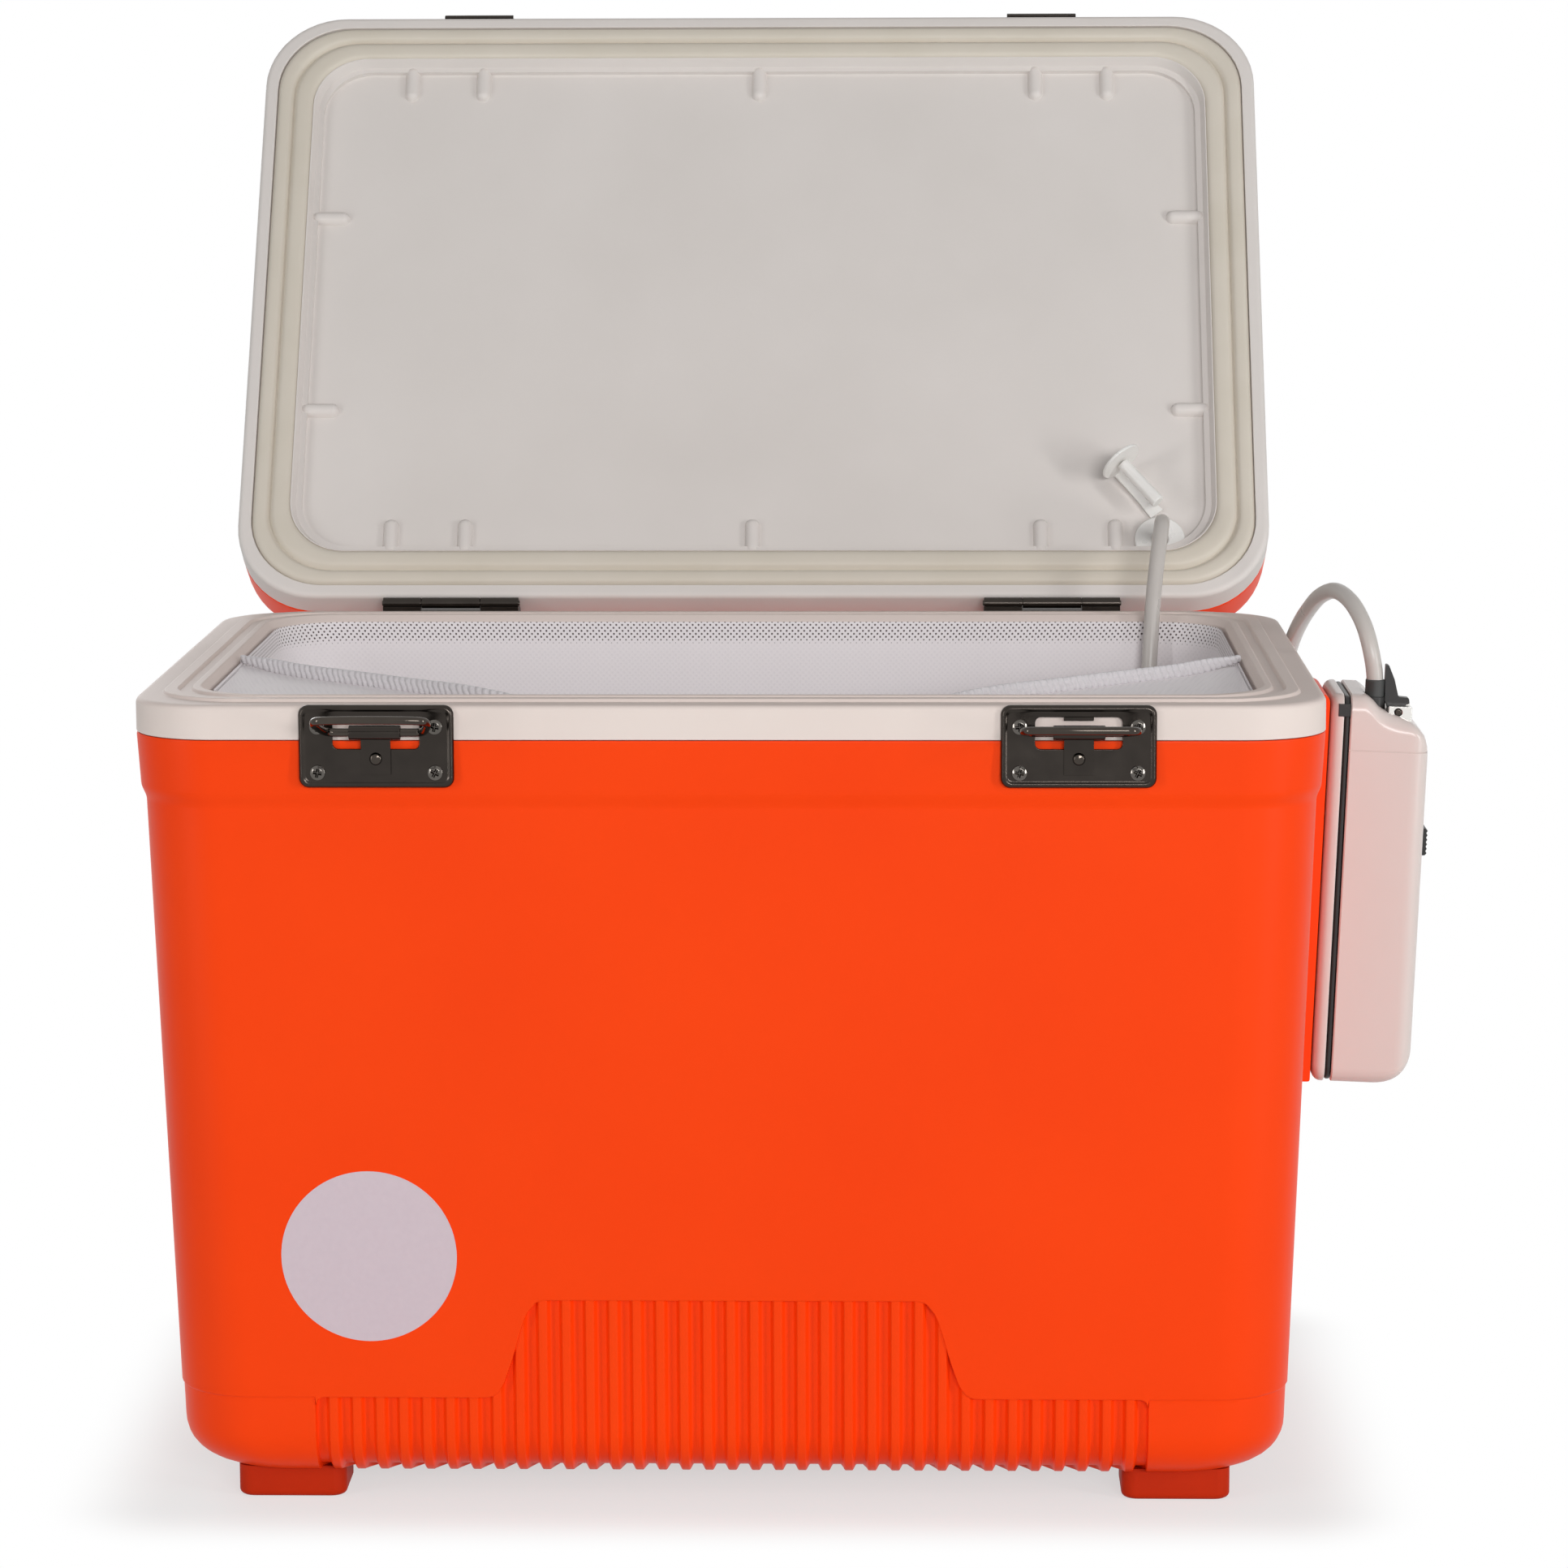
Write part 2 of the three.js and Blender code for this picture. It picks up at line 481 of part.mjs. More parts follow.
// The bail lies in the xy plane of its own frame, with its pivot on the x axis and its loop towards -y.
function bailLoop() {
  const half = bailShares.map(([outShare, sideShare]) => [-bail.half * sideShare, -bail.reach * outShare, 0]);
  const mirrored = half.map(([x, y, z]) => [-x, y, z]).reverse();
  return barAlong([...half, ...mirrored], bail.wire, bail.sides, bail.steps);
}

// The lid, in a frame whose origin is the middle of the hinge axis, drawn closed

const lidY = -hinge.y;
const lidBase = -lid.plane;
const lidRadius = (inset) => Math.max(lid.corner - inset / 2, lid.corner / 2);
const lidRing = (inset, up) =>
  flatRing(roundedPlan(lid.width / 2 - inset, lid.depth / 2 - inset, lidRadius(inset)), lidBase + up, lidY);
const lidRear = lidY + lid.depth / 2;
const lidFront = lidY - lid.depth / 2;
const portHole = rod('z', port.hole, lidBase - overrun, lidBase + lid.height + overrun, [port.x, lidRear - port.s], port.sides);

// The short bars that stiffen the panel along its edge.
function panelRibs() {
  const inner = lid.recessMargin;
  const low = lidBase + lid.recess - lidRib.rise;
  const high = lidBase + lid.recess + lidRib.embed;
  const bar = (x, y, lengthX, lengthY) => {
    const plan = roundedPlan(lengthX / 2, lengthY / 2, lidRib.width * 0.37, 1);
    return loft([flatRing(plan, low, 0), flatRing(plan, high, 0)]).translate([x, y, 0]);
  };
  const reach = inner + lid.recessSlope / 4 + lidRib.length / 2;
  const ribs = lidRib.x.flatMap((x) => [lidRear - reach, lidFront + reach].map((y) => bar(x, y, lidRib.width, lidRib.length)));
  for (const s of lidRib.along)
    for (const side of [-1, 1])
      ribs.push(bar(side * (lid.width / 2 - reach), lidRear - s, lidRib.length, lidRib.width));
  return ribs;
}

function lidLiner() {
  const panel = lid.recessMargin + lid.recessSlope;
  const hidden = lid.grooveDepth + lid.panelWall;
  const rings = [
    lidRing(panel, lid.recess), lidRing(lid.recessMargin, 0), lidRing(gasket.to, 0), lidRing(gasket.to, lid.grooveDepth),
    lidRing(gasket.from, lid.grooveDepth), lidRing(gasket.from, 0), lidRing(lid.bandEdge, 0), lidRing(0, lid.bandEdge),
    lidRing(0, lid.band), lidRing(lid.bandWall, lid.band), lidRing(lid.bandWall, hidden),
    lidRing(panel + lid.panelWall, hidden), lidRing(panel + lid.panelWall, lid.recess + lid.panelWall),
  ];
  return cut(join(loft(rings), ...panelRibs()), portHole);
}

function lidGasket() {
  const [from, to] = [gasket.from + clearance, gasket.to - clearance];
  const rings = [
    lidRing(from, lid.grooveDepth - clearance), lidRing(from, 0), lidRing(from + gasket.slope, -gasket.rise),
    lidRing(gasket.valley - gasket.valleyHalf, -gasket.rise), lidRing(gasket.valley, 0),
    lidRing(gasket.valley + gasket.valleyHalf, -gasket.rise), lidRing(to - gasket.slope, -gasket.rise),
    lidRing(to, 0), lidRing(to, lid.grooveDepth - clearance),
  ];
  return loft(rings, true);
}

const lidTongueOuter = lid.bandWall + clearance;
const lidTongueInner = lidTongueOuter + lid.wall;
const lidShoulder = lid.band + clearance;

function lidShell() {
  const bend = lid.height - lid.topRadius;
  const inner = Math.max(lidTongueInner, lid.sideDraft + lid.wall);
  const outside = [lidRing(0, lidShoulder), lidRing(lid.sideDraft, bend)];
  filletSteps(4).reverse().slice(1).forEach(({ inward, up }) =>
    outside.push(lidRing(lid.sideDraft + lid.topRadius * inward, lid.height - lid.topRadius * up)));
  outside.push(lidRing(lid.plateauInset, lid.height),
    lidRing(lid.plateauInset + lid.plateauRise * 2, lid.height + lid.plateauRise));
  const inside = [lidRing(inner, lid.band - lid.tongue)];
  filletSteps(3).reverse().forEach(({ inward, up }) => inside.push(lidRing(
    inner + (lid.topRadius - lid.wall) * inward, lid.height - lid.wall - (lid.topRadius - lid.wall) * up)));
  const rings = [...inside.reverse(), lidRing(lidTongueOuter, lid.band - lid.tongue),
    lidRing(lidTongueOuter, lidShoulder), ...outside];
  return cut(loft(rings), portHole);
}

function lidFoam() {
  const inner = Math.max(lidTongueInner, lid.sideDraft + lid.wall) + clearance;
  const radius = lid.topRadius - lid.wall;
  const rings = [lidRing(inner, lid.recess + lid.panelWall + clearance)];
  filletSteps(3).reverse().forEach(({ inward, up }) =>
    rings.push(lidRing(inner + radius * inward, lid.height - lid.wall - clearance - radius * up)));
  return cut(loft(rings), portHole);
}

function lidCatchPlate(x) {
  const back = lidFront - clearance;
  const face = back - lidCatch.plate;
  const outline = [
    [back, lidBase + lidCatch.low], [back, lidBase + lidCatch.high], [face, lidBase + lidCatch.high],
    [face, lidBase + lidCatch.lipHigh], [face - lidCatch.lipReach + lidCatch.lipTip, lidBase + lidCatch.lipHigh],
    [face - lidCatch.lipReach, lidBase + lidCatch.lipHigh - lidCatch.lipTip],
    [face - lidCatch.lipReach, lidBase + lidCatch.lipLow], [face, lidBase + lidCatch.low],
  ];
  return extruded(outline, 'yz', x - lidCatch.width / 2, x + lidCatch.width / 2);
}

function portGrommet() {
  const inner = lidBase + lid.recess - clearance;
  const outer = lidBase + lid.height + clearance;
  const profile = [
    [port.bore, inner - port.ringThick], [port.ring, inner - port.ringThick], [port.ring, inner], [port.bush, inner],
    [port.bush, outer], [port.outerRing, outer], [port.outerRing, outer + port.ringThick],
    [port.bore, outer + port.ringThick], [port.bore, inner - port.ringThick],
  ];
  return turned(profile, port.sides, port.x, lidRear - port.s);
}

// The stopper that closes the port when the hose is out, hanging on its strap from the grommet's ring.
function portPlug() {
  const along = new THREE.Vector2(plug.tipX - plug.flangeX, plug.flangeS - plug.tipS);
  const turn = THREE.MathUtils.radToDeg(Math.atan2(along.y, along.x));
  const length = along.length();
  const barrel = rod('x', plug.barrel, -plug.flangeThick / 2, length, [0, 0], plug.sides);
  const flange = rod('x', plug.flange, -plug.flangeThick, 0, [0, 0], plug.sides);
  const rise = plug.stand - 2 * clearance;
  const strapEnd = Math.hypot(port.x - plug.flangeX, plug.flangeS - port.s) - port.ring - clearance;
  const outline = [
    [-plug.flangeThick, 0], [-plug.flangeThick, plug.flange], [0, plug.flange + plug.strapThick / 2],
    [strapEnd, rise], [strapEnd, rise - plug.strapThick], [0, plug.flange - plug.strapThick], [0, 0],
  ];
  const strap = extruded(outline, 'xz', -plug.strapWidth / 2, plug.strapWidth / 2);
  return join(barrel, flange, strap).rotate([0, 0, turn])
    .translate([plug.flangeX, lidRear - plug.flangeS, lidBase + lid.recess - plug.stand]);
}

// The hinges

function hingeLeaf(x, ofBody) {
  const half = hinge.width / 2;
  const middle = hinge.middle / 2;
  const reach = hinge.knuckle + clearance;
  const back = tub.depth / 2 + clearance - hinge.y;
  const spans = ofBody ? [[-half, -middle - clearance], [middle + clearance, half]] : [[-middle, middle]];
  const sign = ofBody ? -1 : 1;
  const plateZ = [sign * (reach + clearance), sign * hinge.leafLength].sort((a, b) => a - b);
  let leaf = box(x - half, x + half, back, back + hinge.leaf, plateZ[0], plateZ[1]);
  for (const [from, to] of spans) {
    const neck = [0, sign * (reach + 2 * clearance)].sort((a, b) => a - b);
    leaf = join(leaf, box(x + from, x + to, back, back + hinge.leaf, neck[0], neck[1]),
      rod('x', hinge.knuckle, x + from, x + to, [0, 0]));
  }
  return cut(leaf, rod('x', hinge.bore, x - half - overrun, x + half + overrun, [0, 0]));
}

const hingePin = (x) =>
  rod('x', hinge.pin, x - hinge.width / 2 - hinge.pinHead, x + hinge.width / 2 + hinge.pinHead, [0, 0]);

// The pump, in a frame that leans with the wall: x out from the pad's face, z up along it

const pumpHalf = pump.width / 2;

// The pump's side view: square at the back, with a shoulder that drops to a crowned outer edge.
function pumpSideShape(fromX, toX, grow = 0) {
  const shape = new THREE.Shape();
  const outer = pump.caseTo + grow;
  shape.moveTo(fromX, -grow);
  shape.lineTo(outer - pump.footRadius, -grow);
  shape.absarc(outer - pump.footRadius, pump.footRadius - grow, pump.footRadius, -Math.PI / 2, 0, false);
  shape.lineTo(outer, pump.seam + grow);
  shape.quadraticCurveTo(outer, pump.shoulderLow - grow, pump.shoulderOut, pump.shoulderLow + grow);
  shape.bezierCurveTo(pump.shoulderIn + pump.topRadius / 2, pump.shoulderLow + pump.topRadius / 4, pump.shoulderIn, pump.height,
    pump.flatTo, pump.height + grow);
  shape.lineTo(fromX, pump.height + grow);
  const limit = extruded(shape, 'xz', -pumpHalf, pumpHalf);
  return shared(limit, box(fromX, toX, -pump.width, pump.width, -pump.width, 2 * pump.height));
}

// The pump's outline seen from outside: rounded top and bottom corners.
function pumpFaceSlab(fromX, toX, grow = 0) {
  const outline = roundedPlan(pumpHalf + grow, pump.height / 2 + grow, pump.topRadius + grow, 4)
    .map((point) => [point.x, point.y + pump.height / 2]);
  return extruded(outline, 'yz', fromX, toX);
}

// The pump seen from above: the outer upright edges are rounded.
function pumpPlanSlab(fromX, grow = 0) {
  const half = pumpHalf + grow;
  const outline = roundedPlan(half, half, pump.sideRadius, 3)
    .map((point) => [point.x - half + pump.caseTo + grow, point.y]);
  return shared(extruded(outline, 'xy', -overrun, pump.height + overrun),
    box(fromX, pump.caseTo + overrun, -pump.width, pump.width, -overrun, pump.height + overrun));
}

const doorAxis = { x: pump.caseTo - door.barrel, z: door.foot };

function pumpCase() {
  const outer = shared(pumpSideShape(pump.caseFrom, pump.caseTo), pumpFaceSlab(pump.caseFrom, pump.caseTo + overrun),
    pumpPlanSlab(pump.caseFrom));
  const cavity = shared(pumpSideShape(pump.caseFrom - overrun, pump.caseTo, -pump.wall),
    pumpFaceSlab(pump.caseFrom - overrun, pump.caseTo, -pump.wall), pumpPlanSlab(-overrun, -pump.wall),
    box(-overrun, pump.caseTo, -pumpHalf, pumpHalf, 0, pump.cavityTop));
  const doorway = box(pump.caseTo - 2 * pump.wall, pump.caseTo + overrun, -door.half - clearance, door.half + clearance,
    door.foot - door.barrel - clearance, door.top + clearance);
  const knobSlot = box(pump.caseTo - 2 * pump.wall, pump.caseTo + overrun, -knob.stem - clearance, knob.stem + clearance,
    knob.z - knob.stemTall / 2 - clearance, knob.z + knob.travel + knob.stemTall / 2 + clearance);
  const seat = box(clevis.fromX - clearance, clevis.toX + clearance, nozzle.y - clevis.half - clearance,
    nozzle.y + clevis.half + clearance, clevis.foot - clearance, pump.height);
  const socket = rod('z', nozzle.base + clearance, nozzle.foot - clearance, pump.height + overrun, [nozzle.x, nozzle.y], nozzle.sides);
  return cut(outer, cavity, doorway, knobSlot, seat, socket);
}

function pumpBack() {
  return shared(pumpFaceSlab(clearance, pump.backDepth), pumpPlanSlab(-overrun, 2 * pump.width));
}

function pumpSeal() {
  const [from, to] = [pump.sealFrom, pump.sealTo];
  const ring = pumpFaceSlab(from, to, -pump.sealInset);
  return cut(ring, pumpFaceSlab(from - overrun, to + overrun, -pump.sealInset - 2 * pump.wall));
}

function batteryDoor() {
  const outline = [
    [pump.caseTo - door.thick, doorAxis.z], [pump.caseTo - door.thick, door.top], [pump.caseTo, door.top],
    [pump.caseTo, doorAxis.z],
  ];
  const panel = extruded(outline, 'xz', -door.half, door.half);
  return join(panel, rod('y', door.barrel, -door.half, door.half, [doorAxis.x, doorAxis.z]));
}

function switchKnob() {
  const face = pump.caseTo + clearance;
  const low = knob.z - knob.tall / 2;
  const notch = knob.tall / 6;
  const outline = [[face, low], [face + knob.proud, low]];
  for (let i = 1; i < 5; i++)
    outline.push([face + knob.proud - (i % 2 ? 0 : knob.grip), low + (i + 0.5) * notch]);
  outline.push([face + knob.proud, low + knob.tall], [face, low + knob.tall]);
  const grip = extruded(outline, 'xz', -knob.half, knob.half);
  const stem = box(pump.caseTo - knob.stemLength, face + knob.proud / 2, -knob.stem, knob.stem,
    knob.z - knob.stemTall / 2, knob.z + knob.stemTall / 2);
  return join(grip, stem);
}

function hoseNozzle() {
  const profile = [[0, nozzle.foot], [nozzle.base, nozzle.foot], [nozzle.base, nozzle.top - nozzle.neckHeight],
    [nozzle.neck, nozzle.top - nozzle.neckHeight], [nozzle.neck, nozzle.top], [0, nozzle.top]];
  return turned(profile, nozzle.sides, nozzle.x, nozzle.y);
}

function latchClevis() {
  const block = box(clevis.fromX, clevis.toX, nozzle.y - clevis.half, nozzle.y + clevis.half, clevis.foot, clevis.top);
  const slot = box(clevis.fromX - overrun, clevis.toX + overrun, nozzle.y - clevis.slot, nozzle.y + clevis.slot,
    clevis.slotFoot, clevis.top + overrun);
  const bore = rod('y', clevis.bore, nozzle.y - clevis.half - overrun, nozzle.y + clevis.half + overrun, [clevis.pinX, clevis.pinZ]);
  return cut(block, slot, bore);
}

// The upright thumb lever that turns on the clevis pin.
function latchLever() {
  const [x, z] = [clevis.pinX, clevis.pinZ];
  const outline = [
    [x - lever.hub, z], [x - lever.hub, z + lever.hub], [lever.tipX - lever.tip, lever.tipZ - lever.tip],
    [lever.tipX, lever.tipZ], [lever.tipX + lever.tip, lever.tipZ - lever.tip], [x, lever.knobTop],
    [lever.knobX + lever.knobHalf, lever.knobTop], [x + lever.hub, z + lever.hub], [x + lever.hub, z],
  ];
  const blade = extruded(outline, 'xz', nozzle.y - lever.half, nozzle.y + lever.half);
  const hub = rod('y', lever.hub, nozzle.y - lever.half, nozzle.y + lever.half, [x, z], 16);
  return cut(join(blade, hub), rod('y', clevis.bore, nozzle.y - overrun, nozzle.y + overrun, [x, z]));
}

const clevisPin = () => rod('y', clevis.pin, nozzle.y - clevis.half - clearance, nozzle.y + clevis.half + clearance,
  [clevis.pinX, clevis.pinZ]);

const cavityX = (pump.caseFrom + pump.caseTo - pump.wall) / 2;
const cavityHalf = pumpHalf - pump.wall - clearance;

// The cells stand one on the other on one side of the case.
function batteryCell(level) {
  const foot = cell.foot + level * (cell.length + clearance);
  const shoulder = foot + cell.length - cell.nubHeight;
  const profile = [[0, foot], [cell.radius, foot], [cell.radius, shoulder], [cell.nub, shoulder],
    [cell.nub, foot + cell.length], [0, foot + cell.length]];
  return turned(profile, cell.sides, cavityX, cavityHalf - cell.radius);
}

function airMotor() {
  const top = motor.foot + motor.length;
  const profile = [[0, motor.foot], [motor.radius, motor.foot], [motor.radius, top], [motor.shaft, top],
    [motor.shaft, top + motor.shaftLength], [0, top + motor.shaftLength]];
  return turned(profile, motor.sides, cavityX, motor.radius - cavityHalf);
}

// The diaphragm block that the motor's shaft drives, with its air outlet on top.
function diaphragmPump() {
  const foot = motor.foot + motor.length + motor.shaftLength + clearance;
  const top = foot + diaphragm.height;
  const y = diaphragm.halfY - cavityHalf;
  const body = box(cavityX - diaphragm.halfX, cavityX + diaphragm.halfX, y - diaphragm.halfY, y + diaphragm.halfY, foot, top);
  const outlet = rod('z', diaphragm.outlet, top - diaphragm.outletRise, top + diaphragm.outletRise, [cavityX, y]);
  return join(body, outlet);
}

// What lies in the well

function airStone() {
  const end = airstone.x + airstone.length / 2;
  const body = rod('x', airstone.radius, airstone.x - airstone.length / 2, end, [airstone.y, airstone.z], airstone.sides);
  return join(body, rod('x', airstone.barb, end - airstone.barb, end + airstone.barbLength - clearance,
    [airstone.y, airstone.z], airstone.sides));
}

// The net's mouth: along the well's wall behind, across the front corners in a straight line, and slack in front.
function mouthPoint(x, y, halfX) {
  if (y > net.hangY) return new THREE.Vector3(x, y, net.mouthZ);
  const reach = Math.min(Math.abs(x), halfX);
  if (reach > net.bendX) {
    const share = (reach - net.bendX) / (halfX - net.bendX);
    return new THREE.Vector3(x, lerp(net.bendY, net.hangY, share), net.mouthZ);
  }
  const share = (reach / net.bendX) ** 2;
  return new THREE.Vector3(x, lerp(net.sagY, net.bendY, share), lerp(net.sagZ, net.mouthZ, share));
}

// The same closed outline with its long straight runs divided, each into the same count as in a guide outline.
function withPoints(points, guide, apart) {
  return points.flatMap((point, i) => {
    const after = (i + 1) % points.length;
    const pieces = Math.max(1, Math.round(guide[i].distanceTo(guide[after]) / apart));
    return Array.from({ length: pieces }, (_, k) => point.clone().lerp(points[after], k / pieces));
  });
}

function netBag() {
  const bend = well.floor + well.floorRadius;
  const guide = roundedPlan(tub.width / 2, tub.depth / 2, well.corner, net.cornerSteps);
  const ring = (z, set, atZ = z) => {
    const inset = wellInset(z) + net.gap + set;
    const plan = roundedPlan(tub.width / 2 - inset, tub.depth / 2 - inset, well.corner, net.cornerSteps);
    return flatRing(withPoints(plan, guide, net.pointsApart), atZ);
  };
  const side = (set) => {
    const top = ring(net.mouthZ, set);
    const halfX = Math.max(...top.map((point) => point.x));
    const mouth = top.map(({ x, y }) => mouthPoint(x, y, halfX));
    mouth.filter(({ y }) => y <= net.hangY).forEach((point) => point.setY(point.y + set));
    const belly = ring(net.bellyZ, set);
    belly.forEach((point, i) => {
      if (mouth[i].y <= net.hangY && mouth[i].y > point.y) point.setY(lerp(point.y, mouth[i].y, net.bellyShare));
    });
    return [ring(bend, set + well.floorRadius, well.floor + net.gap + set), ring(bend, set), ring(net.kneeZ, set), belly, mouth];
  };
  return loft([...side(0), ...side(net.thick).reverse()]);
}

// The gathered elastic hem along the slung edge of the mouth.
function netHem() {
  const halfX = tub.width / 2 - wellInset(net.mouthZ) - net.wallGap - net.hemRadius;
  const points = Array.from({ length: net.hemCount + 1 }, (_, i) => {
    const x = lerp(-halfX, halfX, i / net.hemCount);
    const mouth = mouthPoint(x, net.sagY, halfX);
    return [x, mouth.y, mouth.z + net.hemRadius + 3 * clearance];
  });
  return barAlong(points, net.hemRadius, net.hemSides, net.hemSteps);
}

// Assembly

const baitWell = new THREE.Group();

place(baitWell, 'outer_shell', outerShell(), materials.orangeShell);
place(baitWell, 'inner_liner', innerLiner(), materials.whiteLiner);
place(baitWell, 'insulation_foam', insulationFoam(), materials.foam);
for (const [side, x] of [['left', -foot.x], ['right', foot.x]])
  for (const [end, y] of [['front', -foot.y], ['rear', foot.y]])
    place(baitWell, `foot_${end}_${side}`, tubFoot(), materials.rubberFoot).position.set(x, y, 0);

for (const [side, x] of Object.entries(latchXs)) {
  place(baitWell, `latch_plate_${side}`, latchPlate(x), materials.darkSteel);
  place(baitWell, `latch_leaf_${side}`, latchLeaf(x), materials.darkSteel);
  place(baitWell, `latch_rivet_${side}`, latchRivet(x), materials.brightSteel);
  [[-1, 'low', latch.screwLow], [1, 'low', latch.screwLow], [-1, 'high', latch.screwHigh], [1, 'high', latch.screwHigh]]
    .forEach(([hand, level, z]) => place(baitWell, `latch_screw_${side}_${level}_${hand < 0 ? 'a' : 'b'}`,
      latchScrew(x + hand * latch.screwX, z), materials.brightSteel));
  const loop = place(baitWell, `latch_bail_${side}`, bailLoop(), materials.darkSteel);
  loop.position.set(x, pivotY, latch.pivotZ);
  loop.rotation.x = -degToRad(side === 'left' ? bail.restLeft : bail.restRight);
}

const lidGroup = new THREE.Group();
lidGroup.position.set(0, hinge.y, hinge.z);
lidGroup.rotation.x = -degToRad(lid.openAngle);
baitWell.add(lidGroup);
place(lidGroup, 'lid_shell', lidShell(), materials.orangeShell);
place(lidGroup, 'lid_liner', lidLiner(), materials.whiteLiner);
place(lidGroup, 'lid_foam', lidFoam(), materials.foam);
place(lidGroup, 'lid_gasket', lidGasket(), materials.gasketVinyl);
place(lidGroup, 'port_grommet', portGrommet(), materials.silicone);
place(lidGroup, 'port_plug', portPlug(), materials.silicone);

for (const [side, sign] of [['left', -1], ['right', 1]]) {
  place(lidGroup, `lid_catch_${side}`, lidCatchPlate(sign * lidCatch.x), materials.darkSteel);
  place(lidGroup, `hinge_leaf_lid_${side}`, hingeLeaf(sign * hinge.x, false), materials.darkSteel);
  for (const [name, solid] of [['hinge_leaf_body', hingeLeaf(sign * hinge.x, true)], ['hinge_pin', hingePin(sign * hinge.x)]])
    place(baitWell, `${name}_${side}`, solid, materials.darkSteel).position.set(0, hinge.y, hinge.z);
}

const pumpGroup = new THREE.Group();
pumpGroup.position.set(pump.padFace, 0, pump.foot);
pumpGroup.rotation.y = tilt;
baitWell.add(pumpGroup);
place(pumpGroup, 'pump_back', pumpBack(), materials.pumpPlastic);
place(pumpGroup, 'pump_seal', pumpSeal(), materials.blackPlastic);
place(pumpGroup, 'pump_case', pumpCase(), materials.pumpPlastic);
place(pumpGroup, 'battery_door', batteryDoor(), materials.pumpPlastic);
place(pumpGroup, 'switch_knob', switchKnob(), materials.blackPlastic);
place(pumpGroup, 'hose_nozzle', hoseNozzle(), materials.blackPlastic);
place(pumpGroup, 'clip_clevis', latchClevis(), materials.brightSteel);
place(pumpGroup, 'clip_pin', clevisPin(), materials.brightSteel);
place(pumpGroup, 'clip_lever', latchLever(), materials.blackPlastic);
place(pumpGroup, 'battery_cell_lower', batteryCell(0), materials.cellJacket);
place(pumpGroup, 'battery_cell_upper', batteryCell(1), materials.cellJacket);
place(pumpGroup, 'air_motor', airMotor(), materials.brightSteel);
place(pumpGroup, 'diaphragm_pump', diaphragmPump(), materials.blackPlastic);

place(baitWell, 'air_hose_outer', barAlong(outerRoute, hose.diameter / 2, hose.sides, hose.outerSteps), materials.hoseVinyl);
place(baitWell, 'air_hose_inner', barAlong(innerRoute, hose.diameter / 2, hose.sides, hose.innerSteps), materials.hoseVinyl);
place(baitWell, 'airstone', airStone(), materials.stone);
place(baitWell, 'net_bag', netBag(), materials.netting);
place(baitWell, 'net_hem', netHem(), materials.netting);

// The origin goes under the middle of everything but the free hose.
baitWell.updateMatrixWorld(true);
const bounds = new THREE.Box3();
baitWell.traverse((object) => {
  if (object.isMesh && !object.name.startsWith('air_hose')) bounds.expandByObject(object, true);
});
const middle = bounds.getCenter(new THREE.Vector3());
baitWell.position.set(-middle.x, -middle.y, -bounds.min.z);

const part = new THREE.Group();
part.add(baitWell);

export default part;
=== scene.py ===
import json
from math import atan2, cos, hypot, pi, radians, sin, sqrt, tan

import bmesh
import bpy
from mathutils import Matrix, Vector, noise


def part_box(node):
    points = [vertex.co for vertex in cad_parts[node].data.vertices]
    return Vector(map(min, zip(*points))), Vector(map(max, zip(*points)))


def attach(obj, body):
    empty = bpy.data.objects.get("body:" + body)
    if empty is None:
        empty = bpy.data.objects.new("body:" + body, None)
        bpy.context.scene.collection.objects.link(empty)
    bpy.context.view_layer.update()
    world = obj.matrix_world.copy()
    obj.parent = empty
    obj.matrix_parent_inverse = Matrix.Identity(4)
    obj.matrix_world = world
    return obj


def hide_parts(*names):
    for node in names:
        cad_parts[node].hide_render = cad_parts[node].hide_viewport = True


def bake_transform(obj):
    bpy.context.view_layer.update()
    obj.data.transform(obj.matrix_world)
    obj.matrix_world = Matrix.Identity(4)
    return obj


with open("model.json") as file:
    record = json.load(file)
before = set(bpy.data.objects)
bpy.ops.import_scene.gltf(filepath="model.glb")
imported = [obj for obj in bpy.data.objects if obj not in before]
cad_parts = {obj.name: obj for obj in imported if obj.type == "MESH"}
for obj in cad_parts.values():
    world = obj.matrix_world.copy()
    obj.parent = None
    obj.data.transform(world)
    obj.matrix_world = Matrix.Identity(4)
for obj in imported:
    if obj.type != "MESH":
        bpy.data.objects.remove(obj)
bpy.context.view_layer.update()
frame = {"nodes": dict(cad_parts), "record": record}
print("frame loaded")

# Frames of the tub, the lid and the pump, all in millimetres

mm = 0.001
record = frame["record"]
lidHinge = next(row for row in record["behaviour"]["joints"] if row["name"] == "lid_hinge")

tub = {
    "width": 430, "depth": 284, "corner": 30, "innerCorner": 28, "underside": 11, "wall": 3,
    "edge": 19, "bandFoot": 268.5, "bandTop": 287.5, "bandDraft": 1.1, "stepFoot": 262, "stepInset": 2.8,
    "draft": 1.9, "baseStep": 0.6, "rimWidth": 23,
}
pump = {
    "place": (218.4, 0, 138.3), "tilt": 2.3, "half": 26, "tall": 150, "backFrom": 0.3, "backTo": 5.4,
    "sealFrom": 5.7, "sealTo": 7.5, "caseFrom": 7.8, "caseTo": 38.2, "wall": 2.5, "foot": 14, "corner": 6.5,
    "side": 6, "seam": 129, "tab": (141.8, 146.6),
}

